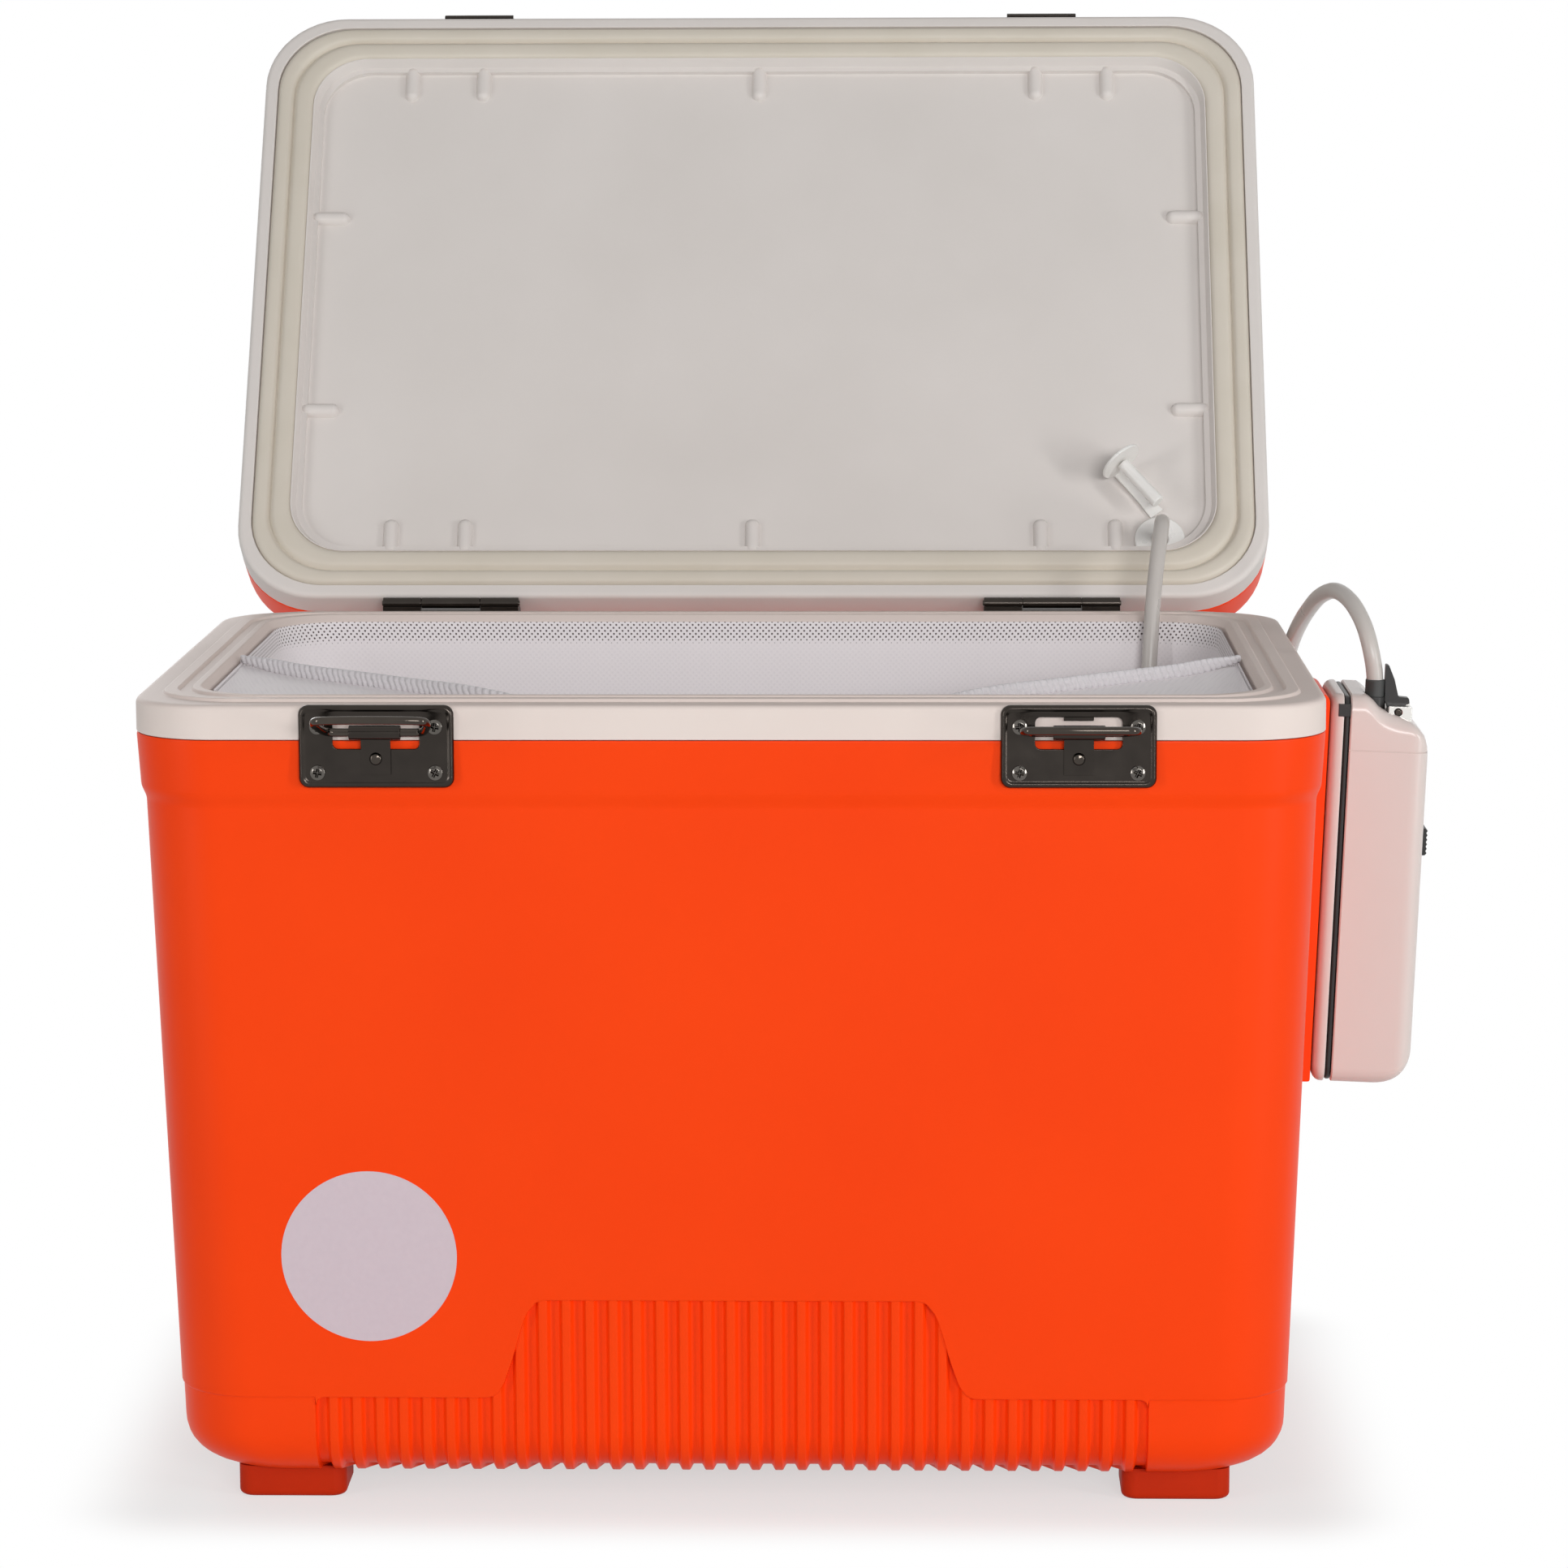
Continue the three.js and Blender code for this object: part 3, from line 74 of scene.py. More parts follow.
linerLow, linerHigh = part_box("inner_liner")
linerMiddle = (linerLow + linerHigh) / 2
tubFrame = Matrix.Translation((linerMiddle.x, linerMiddle.y, 0)) @ Matrix.Scale(mm, 4)
lidFrame = (Matrix.Translation(lidHinge["pos_m"]) @ Matrix.Rotation(-radians(lidHinge["range_deg"][1]), 4, "X")
            @ Matrix.Scale(mm, 4))
pumpFrame = tubFrame @ Matrix.Translation(pump["place"]) @ Matrix.Rotation(radians(pump["tilt"]), 4, "Y")

# Camera, where the photograph was taken from

cameraView = {"place": (62.0, -1881.2, 540.16), "yaw": -1.375, "pitch": 8.769, "roll": -0.175, "lens": 113.496}


def makeCamera():
    yaw, pitch, roll = (radians(cameraView[key]) for key in ("yaw", "pitch", "roll"))
    ahead = Vector((sin(yaw) * cos(pitch), cos(yaw) * cos(pitch), -sin(pitch)))
    right = Vector((cos(yaw), -sin(yaw), 0))
    up = right.cross(ahead)
    across = right * cos(roll) + up * sin(roll)
    upright = up * cos(roll) - right * sin(roll)
    camera = bpy.data.objects.new("camera", bpy.data.cameras.new("camera"))
    camera.data.lens = cameraView["lens"]
    camera.data.clip_end = 20
    turn = Matrix((across, upright, -ahead)).transposed().to_4x4()
    camera.matrix_world = Matrix.Translation(tubFrame @ Vector(cameraView["place"])) @ turn
    bpy.context.scene.collection.objects.link(camera)
    bpy.context.scene.camera = camera


makeCamera()

# Small helpers for meshes: a part is a list of points and a list of faces

bothSides = (("left", -1), ("right", 1))
cornerSteps = 10  # steps of a plan in each of its corners


def at(x, y, z):
    return Matrix.Translation((x, y, z))


def about(axis, angle):
    return Matrix.Rotation(angle, 4, axis)


def clamp(value, low=0.0, high=1.0):
    return max(low, min(high, value))


def lerp(start, end, share):
    return start + (end - start) * share


def eased(share):
    share = clamp(share)
    return share * share * (3 - 2 * share)


def between(table, place):
    # straight lines through a table of (place, value) pairs
    for (fromPlace, fromValue), (toPlace, toValue) in zip(table, table[1:]):
        if place <= toPlace:
            return lerp(fromValue, toValue, clamp((place - fromPlace) / (toPlace - fromPlace)))
    return table[-1][1]


def roundedPlan(halfX, halfY, radius, steps=cornerSteps):
    # a rounded rectangle, anticlockwise from its +x side
    points = []
    for quarter, (signX, signY) in enumerate(((1, 1), (-1, 1), (-1, -1), (1, -1))):
        for step in range(steps + 1):
            angle = (quarter + step / steps) * pi / 2
            points.append((signX * (halfX - radius) + radius * cos(angle),
                           signY * (halfY - radius) + radius * sin(angle)))
    return points


def softened(corners, steps, closed=False):
    # a profile of (a, b, radius) corners with each corner rounded
    profile = []
    last = len(corners) - 1
    for i, (a, b, radius) in enumerate(corners):
        here = Vector((a, b))
        if not radius or (not closed and i in (0, last)):
            profile.append(here)
            continue
        before = Vector(corners[i - 1][:2]) - here
        after = Vector(corners[(i + 1) % len(corners)][:2]) - here
        half = max(before.angle(after) / 2, 0.05)
        reach = min(radius / tan(half), before.length * 0.48, after.length * 0.48)
        start, end = here + before.normalized() * reach, here + after.normalized() * reach
        for step in range(steps + 1):
            share = step / steps
            profile.append(start * (1 - share) ** 2 + here * 2 * share * (1 - share) + end * share ** 2)
    return profile


def loft(rings, closed=False):
    # skins rings that all have the same number of points
    around = len(rings[0])
    points = [point for ring in rings for point in ring]
    faces = []
    for band in range(len(rings) if closed else len(rings) - 1):
        start, after = band * around, (band + 1) % len(rings) * around
        for i in range(around):
            j = (i + 1) % around
            faces.append((start + i, start + j, after + j, after + i))
    if not closed:
        faces.append(tuple(reversed(range(around))))
        faces.append(tuple(range(len(points) - around, len(points))))
    return points, faces


def turned(profile, sides, closed=False):
    # a profile of (radius, height) turned round the z axis
    rings = [[(radius * cos(2 * pi * k / sides), radius * sin(2 * pi * k / sides), height)
              for k in range(sides)] for radius, height in profile]
    return loft(rings, closed)


def spun(corners, steps, sides, closed=False):
    # a turned part whose profile has softened corners
    return turned(softened(corners, steps, closed), sides, closed)


def ringOf(outline, level, plane="xy", shift=(0, 0)):
    # a flat outline as a ring, at a level of the axis that its plane lacks
    ring = []
    for a, b in outline:
        a, b = a + shift[0], b + shift[1]
        ring.append(Vector({"xy": (a, b, level), "xz": (a, level, b), "yz": (level, a, b)}[plane]))
    return ring


def prism(outline, start, end, plane, shift=(0, 0)):
    return loft([ringOf(outline, level, plane, shift) for level in (start, end)])


def block(lowX, highX, lowY, highY, lowZ, highZ):
    return prism([(lowX, lowY), (highX, lowY), (highX, highY), (lowX, highY)], lowZ, highZ, "xy")


def placed(part, matrix):
    return [matrix @ Vector(point) for point in part[0]], part[1]


def merged(parts):
    points, faces = [], []
    for partPoints, partFaces in parts:
        start = len(points)
        points += list(partPoints)
        faces += [[start + i for i in face] for face in partFaces]
    return points, faces


def meshFrom(name, part, place=Matrix()):
    mesh = bpy.data.meshes.new(name)
    mesh.from_pydata([place @ Vector(point) for point in part[0]], [], part[1])
    work = bmesh.new()
    work.from_mesh(mesh)
    bmesh.ops.recalc_face_normals(work, faces=work.faces)
    work.to_mesh(mesh)
    work.free()
    return mesh


def carved(base, cutters):
    # cuts closed parts out of a part
    scene = bpy.context.scene
    target = bpy.data.objects.new("target", meshFrom("target", base))
    scene.collection.objects.link(target)
    tools = []
    for cutter in cutters:
        tool = bpy.data.objects.new("tool", meshFrom("tool", cutter))
        scene.collection.objects.link(tool)
        tools.append(tool)
        step = target.modifiers.new("cut", "BOOLEAN")
        step.operation = "DIFFERENCE"
        step.solver = "EXACT"
        step.object = tool
    result = bpy.data.meshes.new_from_object(target.evaluated_get(bpy.context.evaluated_depsgraph_get()))
    part = ([v.co.copy() for v in result.vertices], [tuple(face.vertices) for face in result.polygons])
    bpy.data.meshes.remove(result)
    for item in [target] + tools:
        bpy.data.objects.remove(item)
    return part


def addPiece(name, part, place, finish, body, node=None, bevel=0, sharp=38):
    # a piece of the object: mesh, finish, soft edges, the body it rides on and the CAD node it stands for
    mesh = meshFrom(name, part, place)
    mesh.polygons.foreach_set("use_smooth", [True] * len(mesh.polygons))
    mesh.materials.append(finishes[finish])
    piece = bpy.data.objects.new(name, mesh)
    bpy.context.scene.collection.objects.link(piece)
    if bevel:
        soften = piece.modifiers.new("soften", "BEVEL")
        soften.width = bevel * mm
        soften.segments = 3
        soften.limit_method = "ANGLE"
        soften.angle_limit = radians(sharp)
    else:
        mesh.set_sharp_from_angle(angle=radians(sharp))
    steady = piece.modifiers.new("steady", "WEIGHTED_NORMAL")
    steady.keep_sharp = True
    if node:
        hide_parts(node)
    if body:
        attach(piece, body)
    return piece


def smoothPath(points, perSpan):
    # a centripetal curve through listed points
    points = [Vector(point) for point in points]
    ends = [points[0] * 2 - points[1]] + points + [points[-1] * 2 - points[-2]]
    path = []
    for p0, p1, p2, p3 in zip(ends, ends[1:], ends[2:], ends[3:]):
        t1 = sqrt((p1 - p0).length)
        t2 = t1 + sqrt((p2 - p1).length)
        t3 = t2 + sqrt((p3 - p2).length)
        for step in range(perSpan):
            t = lerp(t1, t2, step / perSpan)
            a1 = p0 * ((t1 - t) / t1) + p1 * (t / t1)
            a2 = p1 * ((t2 - t) / (t2 - t1)) + p2 * ((t - t1) / (t2 - t1))
            a3 = p2 * ((t3 - t) / (t3 - t2)) + p3 * ((t - t2) / (t3 - t2))
            b1 = a1 * ((t2 - t) / t2) + a2 * (t / t2)
            b2 = a2 * ((t3 - t) / (t3 - t1)) + a3 * ((t - t1) / (t3 - t1))
            path.append(b1 * ((t2 - t) / (t2 - t1)) + b2 * ((t - t1) / (t2 - t1)))
    return path + [points[-1]]


def lengthsAlong(path):
    # how far along a path each of its points lies
    lengths = [0.0]
    for a, b in zip(path, path[1:]):
        lengths.append(lengths[-1] + (b - a).length)
    return lengths


def tubeAlong(path, radius, sides):
    # radius is a number or a function of (place in the path, angle)
    rings = []
    normal = None
    for i, here in enumerate(path):
        ahead = (path[min(i + 1, len(path) - 1)] - path[max(i - 1, 0)]).normalized()
        seed = normal or (Vector((0, 0, 1)) if abs(ahead.z) < 0.9 else Vector((1, 0, 0)))
        normal = (seed - ahead * seed.dot(ahead)).normalized()
        side = ahead.cross(normal)
        ring = []
        for k in range(sides):
            angle = 2 * pi * k / sides
            reach = radius(i, angle) if callable(radius) else radius
            ring.append(here + (normal * cos(angle) + side * sin(angle)) * reach)
        rings.append(ring)
    return loft(rings)


# Small helpers for materials


def fromHex(code):
    # an sRGB hex colour as linear values
    channels = [int(code[i:i + 2], 16) / 255 for i in (1, 3, 5)]
    return tuple(c / 12.92 if c <= 0.04045 else ((c + 0.055) / 1.055) ** 2.4 for c in channels) + (1,)


def addNode(tree, kind, settings=(), links=()):
    # one node with its settings, by attribute or socket name, and its links, by socket name or number
    node = tree.nodes.new("ShaderNode" + kind)
    for key, value in dict(settings).items():
        if hasattr(node, str(key)):
            setattr(node, key, value)
        else:
            node.inputs[key].default_value = value
    for key, source in dict(links).items():
        tree.links.new(source, node.inputs[key])
    return node


def newMaterial(name):
    material = bpy.data.materials.new(name)
    material.use_nodes = True
    material.node_tree.nodes.clear()
    return material, material.node_tree


def finishMaterial(material, tree, shader):
    addNode(tree, "OutputMaterial", {}, {"Surface": shader.outputs[0]})
    return material


# Moulded plastics: a slow drift of colour from the mould, a fine grain on the skin and uneven gloss
moulded = {"detail": 3, "spread": (0.05, 0.05), "depth": 0.3, "ior": 1.5, "shine": 0.4}
plastics = {
    # high-density polyethylene: saturated and satin, with faint flow marks
    "orange": {"name": "orange polyethylene, injection moulded", "color": "#FA4506", "shade": "#F23D04",
               "rough": 0.42, "grain": 0.9, "bump": 0.05, "drift": 90, "shine": 0.12},
    # the feet take the same plastic, duller, with their colour darkened as painted shade for the shadow under
    # the tub
    "foot": {"name": "orange polyethylene feet, darkened as painted shade", "color": "#C02D05", "shade": "#AC2504",
             "rough": 0.55, "grain": 0.8, "bump": 0.08, "drift": 40, "shine": 0.12},
    "white": {"name": "white polyethylene, injection moulded", "color": "#E6D8D1", "shade": "#DDCDC6",
              "rough": 0.56, "grain": 0.9, "bump": 0.05, "drift": 110, "shine": 0.15},
    # the lid's panel is a little greyer and more mottled
    "panel": {"name": "lid panel polyethylene, thermoformed", "color": "#E2DBD7", "shade": "#D6CFCA",
              "rough": 0.58, "grain": 1.4, "bump": 0.09, "drift": 70},
    "gasket": {"name": "cream vinyl gasket, extruded", "color": "#D9D0C4", "shade": "#CEC5B6",
               "rough": 0.5, "grain": 0.6, "bump": 0.06, "drift": 30},
    "pump": {"name": "white ABS, gloss moulded", "color": "#DDCFCA", "shade": "#D6C7C1",
             "rough": 0.24, "grain": 0.8, "bump": 0.02, "drift": 60},
    "black": {"name": "black ABS, moulded", "color": "#171616", "shade": "#1E1C1B",
              "rough": 0.38, "grain": 0.5, "bump": 0.08, "drift": 12},
    "sleeve": {"name": "dark grey PVC, dipped", "color": "#3A3B3A", "shade": "#313231",
               "rough": 0.5, "grain": 0.5, "bump": 0.08, "drift": 8},
    "jacket": {"name": "cell jacket film, heat shrunk", "color": "#3B4A5C", "shade": "#34414F",
               "rough": 0.3, "grain": 0.4, "bump": 0.03, "drift": 15},
    "foam": {"name": "polyurethane foam, foamed in place", "color": "#EFE6B8", "shade": "#DCCF98",
             "rough": 0.9, "grain": 1.2, "bump": 0.6, "drift": 8},
}


# Plated steel: drawn sheet keeps fine brush lines under the plating, wire is polished
plated = {"drift": 9, "detail": 4, "spread": (0.06, 0.1), "depth": 0.1, "metal": 1}
# the sheet, the wire and the screws get dark base colours that stand in for the dark surroundings their
# plating reflects: painted dark reflection; the zinc stays bright
metals = {
    "dark": {"name": "plated brushed steel sheet, darkened as painted reflection", "color": "#332F2C", "shade": "#3E3935",
             "rough": 0.2, "brush": (6, 0.5), "bump": 0.08},
    "wire": {"name": "plated drawn steel wire, darkened as painted reflection", "color": "#3E3935", "shade": "#4E4842",
             "rough": 0.1, "brush": (3, 1), "bump": 0.03},
    "nickel": {"name": "nickel on headed steel screws, bright", "color": "#6A6661", "shade": "#524E4A",
               "rough": 0.12, "brush": (2, 0.6), "bump": 0.04},
    "bright": {"name": "zinc plated steel, bright", "color": "#DAD9D6", "shade": "#C6C3BE",
               "rough": 0.24, "brush": (2, 0.6), "bump": 0.06},
}


# Clear soft plastics: cloudy rather than glassy, so light passes but no edge shows through sharply
clear = {"detail": 3, "spread": (0.08, 0.08), "ior": 1.45}
clears = {
    "hose": {"name": "clear PVC hose, extruded", "color": "#D3CDC8", "shade": "#C4BDB7", "rough": 0.3,
             "pass": 0.15, "drift": 25},
    "silicone": {"name": "natural silicone, moulded", "color": "#FBF9F6", "shade": "#EFECE8", "rough": 0.3,
                 "pass": 0.12, "drift": 9},
}


# Thread and film: the pattern that tints them is also their relief, and their gloss is even. The hem is
# greyish and dull with thread lines, the stitch a little lighter, and the label film pinkish with a faint
# orange peel.
even = {"detail": 4, "depth": 0.3, "rough": 0.8, "sheen": 0.25}
trims = {
    "hem": {"name": "gathered polyester elastic, woven", "color": "#DEDADC", "shade": "#CAC6C9", "drift": 0.8,
            "bump": 0.5},
    "stitch": {"name": "polyester thread, twisted", "color": "#EDE9EA", "shade": "#DAD5D8", "drift": 0.3,
               "bump": 0.3},
    "label": {"name": "vinyl label film, calendered", "color": "#CDBDC4", "shade": "#C7B6BE", "drift": 2.2,
              "detail": 2, "bump": 0.08, "depth": 0.2, "rough": 0.45, "sheen": 0},
}
sockets = {"ior": "IOR", "shine": "Specular IOR Level", "metal": "Metallic", "pass": "Transmission Weight",
           "sheen": "Sheen Weight"}


def makeSkin(look):
    # one pattern shifts the colour and the gloss, and that one, a finer grain or brush lines give the relief
    material, tree = newMaterial(look["name"])
    place = addNode(tree, "TexCoord").outputs["Object"]
    drift = addNode(tree, "TexNoise", {"Scale": 1 / (look["drift"] * mm), "Detail": look["detail"]},
                    {"Vector": place})
    color = addNode(tree, "Mix", {"data_type": "RGBA", 6: fromHex(look["color"]), 7: fromHex(look["shade"])},
                    {"Factor": drift.outputs["Fac"]})
    settings = {socket: look[key] for key, socket in sockets.items() if key in look}
    links = {"Base Color": color.outputs[2]}
    relief = drift
    if "grain" in look:
        relief = addNode(tree, "TexNoise", {"Scale": 1 / (look["grain"] * mm), "Detail": 2}, {"Vector": place})
    if "brush" in look:
        length, width = look["brush"]
        lines = addNode(tree, "Mapping", {"Scale": (1 / (length * mm), 1 / (length * mm), 1 / (width * mm))},
                        {"Vector": place})
        relief = addNode(tree, "TexNoise", {"Scale": 1, "Detail": 3}, {"Vector": lines.outputs[0]})
    if "bump" in look:
        bump = addNode(tree, "Bump", {"Strength": look["bump"], "Distance": look["depth"] * mm},
                       {"Height": relief.outputs["Fac"]})
        links["Normal"] = bump.outputs[0]
    if "spread" in look:
        below, above = look["spread"]
        gloss = addNode(tree, "MapRange", {"To Min": look["rough"] - below, "To Max": look["rough"] + above},
                        {"Value": drift.outputs["Fac"]})
        links["Roughness"] = gloss.outputs[0]
    else:
        settings["Roughness"] = look["rough"]
    return finishMaterial(material, tree, addNode(tree, "BsdfPrincipled", settings, links))


# Net of white polyester, warp knitted: small round holes in rows, a soft thread grain between them
net = {
    "pitch": 2.4, "hole": 0.23, "open": 8, "thread": 0.5, "color": "#F4EDEE", "shade": "#E9E3E5",
    "holeShadeTint": "#B4AEB4", "gap": 1.4, "mouthZ": 298.6, "slungZ": 295.4, "hangY": -8, "bendX": 86, "bendY": -101,
    "sagY": -111.5, "sagZ": 285, "dive": 8, "floorZ": 46, "foldDepth": 1.3, "foldWidth": 34, "pleat": 2.2,
    "wallRows": 34, "spacing": 5.5, "closed": 500,
}


def knittedNet():
    material, tree = newMaterial("white polyester net, warp knitted")
    place = addNode(tree, "UVMap", {"uv_map": "thread"})
    rows = addNode(tree, "Mapping", {"Rotation": (0, 0, pi / 4), "Scale": [sqrt(2) / net["pitch"]] * 3},
                   {"Vector": place.outputs[0]})
    cells = addNode(tree, "TexVoronoi", {"Scale": 1, "Randomness": 0}, {"Vector": rows.outputs[0]})
    # the holes show in the band below the mouth, and close up where the cloth is slack
    split = addNode(tree, "SeparateXYZ", {}, {0: place.outputs[0]})
    near = addNode(tree, "MapRange", {"From Min": net["open"] - 1.5, "From Max": net["open"] + 1.5,
                                      "To Min": net["hole"], "To Max": 0}, {"Value": split.outputs["Y"]})
    hole = addNode(tree, "Math", {"operation": "LESS_THAN"},
                   {0: cells.outputs["Distance"], 1: near.outputs[0]})
    # each hole spot is tinted a little darker all over the cloth: painted shade of the shadowed wall behind
    # the holes
    holeShadeShare = addNode(tree, "MapRange", {"From Min": 0, "From Max": 0.4, "To Min": 0.14, "To Max": 0},
                     {"Value": cells.outputs["Distance"]})
    thread = addNode(tree, "TexNoise", {"Scale": 1 / net["thread"], "Detail": 3}, {"Vector": place.outputs[0]})
    color = addNode(tree, "Mix", {"data_type": "RGBA", 6: fromHex(net["color"]), 7: fromHex(net["shade"])},
                    {"Factor": thread.outputs["Fac"]})
    knit = addNode(tree, "Mix", {"data_type": "RGBA", 7: fromHex(net["holeShadeTint"])},
                   {"Factor": holeShadeShare.outputs[0], 6: color.outputs[2]})
    bump = addNode(tree, "Bump", {"Strength": 0.3, "Distance": 0.25 * mm},
                   {"Height": cells.outputs["Distance"]})
    cloth = addNode(tree, "BsdfPrincipled", {"Roughness": 0.75, "Sheen Weight": 0.2, "Sheen Roughness": 0.4},
                    {"Base Color": knit.outputs[2], "Normal": bump.outputs[0]})
    # a hole lets only a third of the light through: its see-through is dimmed as painted shade of the shadowed
    # gap behind the cloth
    clear = addNode(tree, "BsdfTransparent", {"Color": (0.36, 0.35, 0.38, 1)})
    shader = addNode(tree, "MixShader", {}, {0: hole.outputs[0], 1: cloth.outputs[0], 2: clear.outputs[0]})
    return finishMaterial(material, tree, shader)


def porousStone():
    # fused grit of about half a millimetre: rough and blue-grey, each grain painted darker towards its edge
    # and into the pores as painted shade
    material, tree = newMaterial("fused glass grit airstone, sintered")
    place = addNode(tree, "TexCoord")
    grit = addNode(tree, "TexVoronoi", {"Scale": 1 / (0.9 * mm)}, {"Vector": place.outputs["Object"]})
    color = addNode(tree, "ValToRGB", {}, {"Fac": grit.outputs["Distance"]})
    color.color_ramp.elements[0].color = fromHex("#8FA6B8")
    color.color_ramp.elements[1].color = fromHex("#46586A")
    bump = addNode(tree, "Bump", {"Strength": 0.9, "Distance": 0.4 * mm, "invert": True},
                   {"Height": grit.outputs["Distance"]})
    shader = addNode(tree, "BsdfPrincipled", {"Roughness": 0.95},
                     {"Base Color": color.outputs[0], "Normal": bump.outputs[0]})
    return finishMaterial(material, tree, shader)


finishes = {"net": knittedNet(), "stone": porousStone()}
for shared, looks in ((moulded, plastics), (plated, metals), (clear, clears), (even, trims)):
    for kind, look in looks.items():
        finishes[kind] = makeSkin({**shared, **look})
print("materials made")

# Air hose: two free stretches of one clear hose, outside and inside the lid's port

hose = {
    "diameter": 6.35,
    "outer": [
        (241.9, -14, 289.2), (241.7, -14, 295), (240.4, -13.5, 303), (238, -10, 312.2), (234.2, -1, 319.8),
        (229.6, 13, 323), (225.2, 33, 319.2), (222, 57, 310.4), (220.2, 83, 300.4), (219.6, 107, 290.8),
        (219.8, 130, 281.5), (219.4, 152, 273.2), (216.6, 173, 266.4), (210, 193, 261.6), (200.5, 210, 259.4),
        (189.5, 223, 260.6), (179.6, 230.6, 265.6), (172.9, 231.8, 273.6), (170.3, 227.4, 282.4),
        (169.4, 219.6, 289.6), (169.3, 210, 296.4), (169.3, 200.6, 303.2),
    ],
    "inner": [
        (169.3, 161.8, 328.4), (169.3, 156.5, 331.8), (169.2, 149.5, 335.4), (168.8, 141.5, 336.8),
        (168, 133, 334.6), (166.8, 125.4, 328.6), (165.4, 119.2, 319.4), (164.1, 114.4, 308),
        (163.1, 110.4, 294), (162.2, 106.8, 279), (161, 103, 262), (159.6, 99, 244), (157.8, 95, 222),
        (155.6, 91, 198), (152.8, 87, 172), (149.4, 82.6, 146), (145, 77.6, 120), (139.6, 71.6, 97),
        (132.6, 64.6, 79), (123.4, 57.6, 66.6), (112.4, 51.6, 60.4), (103, 48, 58.8), (97.4, 47, 58.5),
    ],
}
airstone = {"radius": 9, "half": 16, "place": (76, 47, 58.5), "barb": 2, "barbTip": 20.7}


def addAirstone():
    half, radius, barb, tip = (airstone[key] for key in ("half", "radius", "barb", "barbTip"))
    body = spun([(2, -half, 0), (radius, -half, 2.5), (radius, half, 2.5), (2.6, half, 0)], 4, 36)
    stem = spun([(barb, half - 1, 0), (barb, tip, 0.4), (1, tip, 0)], 2, 20)
    turn = at(*airstone["place"]) @ about("Y", pi / 2)
    return addPiece("airstone_body", placed(merged([body, stem]), turn), tubFrame, "stone", "tub", "airstone")


def addHose(name, route, node):
    path = smoothPath(route, 5)
    piece = addPiece(name, tubeAlong(path, hose["diameter"] / 2, 20), tubFrame, "hose", None, node)
    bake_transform(piece)
    return piece


stonePiece = addAirstone()
addHose("hose_outside", hose["outer"], "air_hose_outer")
# the inner hose is laid along its route and rides on no body
addHose("hose_inside", hose["inner"], "air_hose_inner")
print("hose made")

# Outer shell of the tub with the ribbed field at the foot of its front

ribs = {
    "count": 35, "pitch": 8.57, "depth": 2.3, "halfWidth": 152, "corner": 3, "lowTop": 43, "archTop": 80,
    "archFlat": 66.5, "archFoot": 91, "archBend": 2.4, "crest": 0.14, "foot": 0.34, "lipDrop": 0.45,
    "lipRise": 0.5, "tuck": 6,
}
# the columns of points on each rib, in rib pitches from its middle
ribPlaces = (-0.34, -0.31, -0.28, -0.24, -0.2, -0.17, -0.14, 0, 0.14, 0.17, 0.2, 0.24, 0.28, 0.31, 0.34)


def wallInset(z):
    # how far the outer wall stands inside the rim's outline, without the step at its base
    if z >= tub["bandFoot"]:
        share = (tub["bandTop"] - min(z, tub["bandTop"])) / (tub["bandTop"] - tub["bandFoot"])
        return tub["bandDraft"] * share
    if z >= tub["stepFoot"]:
        share = (tub["bandFoot"] - z) / (tub["bandFoot"] - tub["stepFoot"])
        return lerp(tub["bandDraft"], tub["stepInset"], eased(share))
    return tub["stepInset"] + (tub["stepFoot"] - z) * tan(radians(tub["draft"]))


def fieldTop(x):
    # the height of the field's outline: low at the sides, an arch in the middle
    reach = abs(x)
    if reach <= ribs["archFlat"]:
        return ribs["archTop"]
    if reach < ribs["archFoot"]:
        share = (reach - ribs["archFlat"]) / (ribs["archFoot"] - ribs["archFlat"])
        down, up = share ** ribs["archBend"], (1 - share) ** ribs["archBend"]
        return lerp(ribs["archTop"], ribs["lowTop"], down / (down + up))
    bend = clamp((reach - ribs["halfWidth"] + ribs["corner"]) / ribs["corner"])
    if reach > ribs["halfWidth"] + 0.2:
        return ribs["lowTop"]
    return ribs["lowTop"] - ribs["corner"] * (1 - sqrt(1 - bend * bend))


def valleyShare(x):
    # 0 on a rib's crest or outside the field, 1 between the ribs
    if abs(x) > ribs["halfWidth"] + 0.2:
        return 0
    nearest = round(x / ribs["pitch"])
    if abs(nearest) > (ribs["count"] - 1) / 2:
        return 1
    return eased((abs(x / ribs["pitch"] - nearest) - ribs["crest"]) / (ribs["foot"] - ribs["crest"]))


def frontColumns():
    half = (ribs["count"] - 1) // 2
    columns = [(rib + share) * ribs["pitch"] for rib in range(-half, half + 1) for share in ribPlaces]
    edge = ribs["halfWidth"]
    ends = [edge - ribs["corner"] * share for share in (0.8, 0.45, 0.2, 0)] + [edge + 0.4, edge + 6]
    columns += ends + [-x for x in ends]
    return sorted({round(x, 3) for x in columns})


def tubRadius(inset):
    return lerp(tub["corner"], tub["innerCorner"], clamp(inset / tub["rimWidth"]))


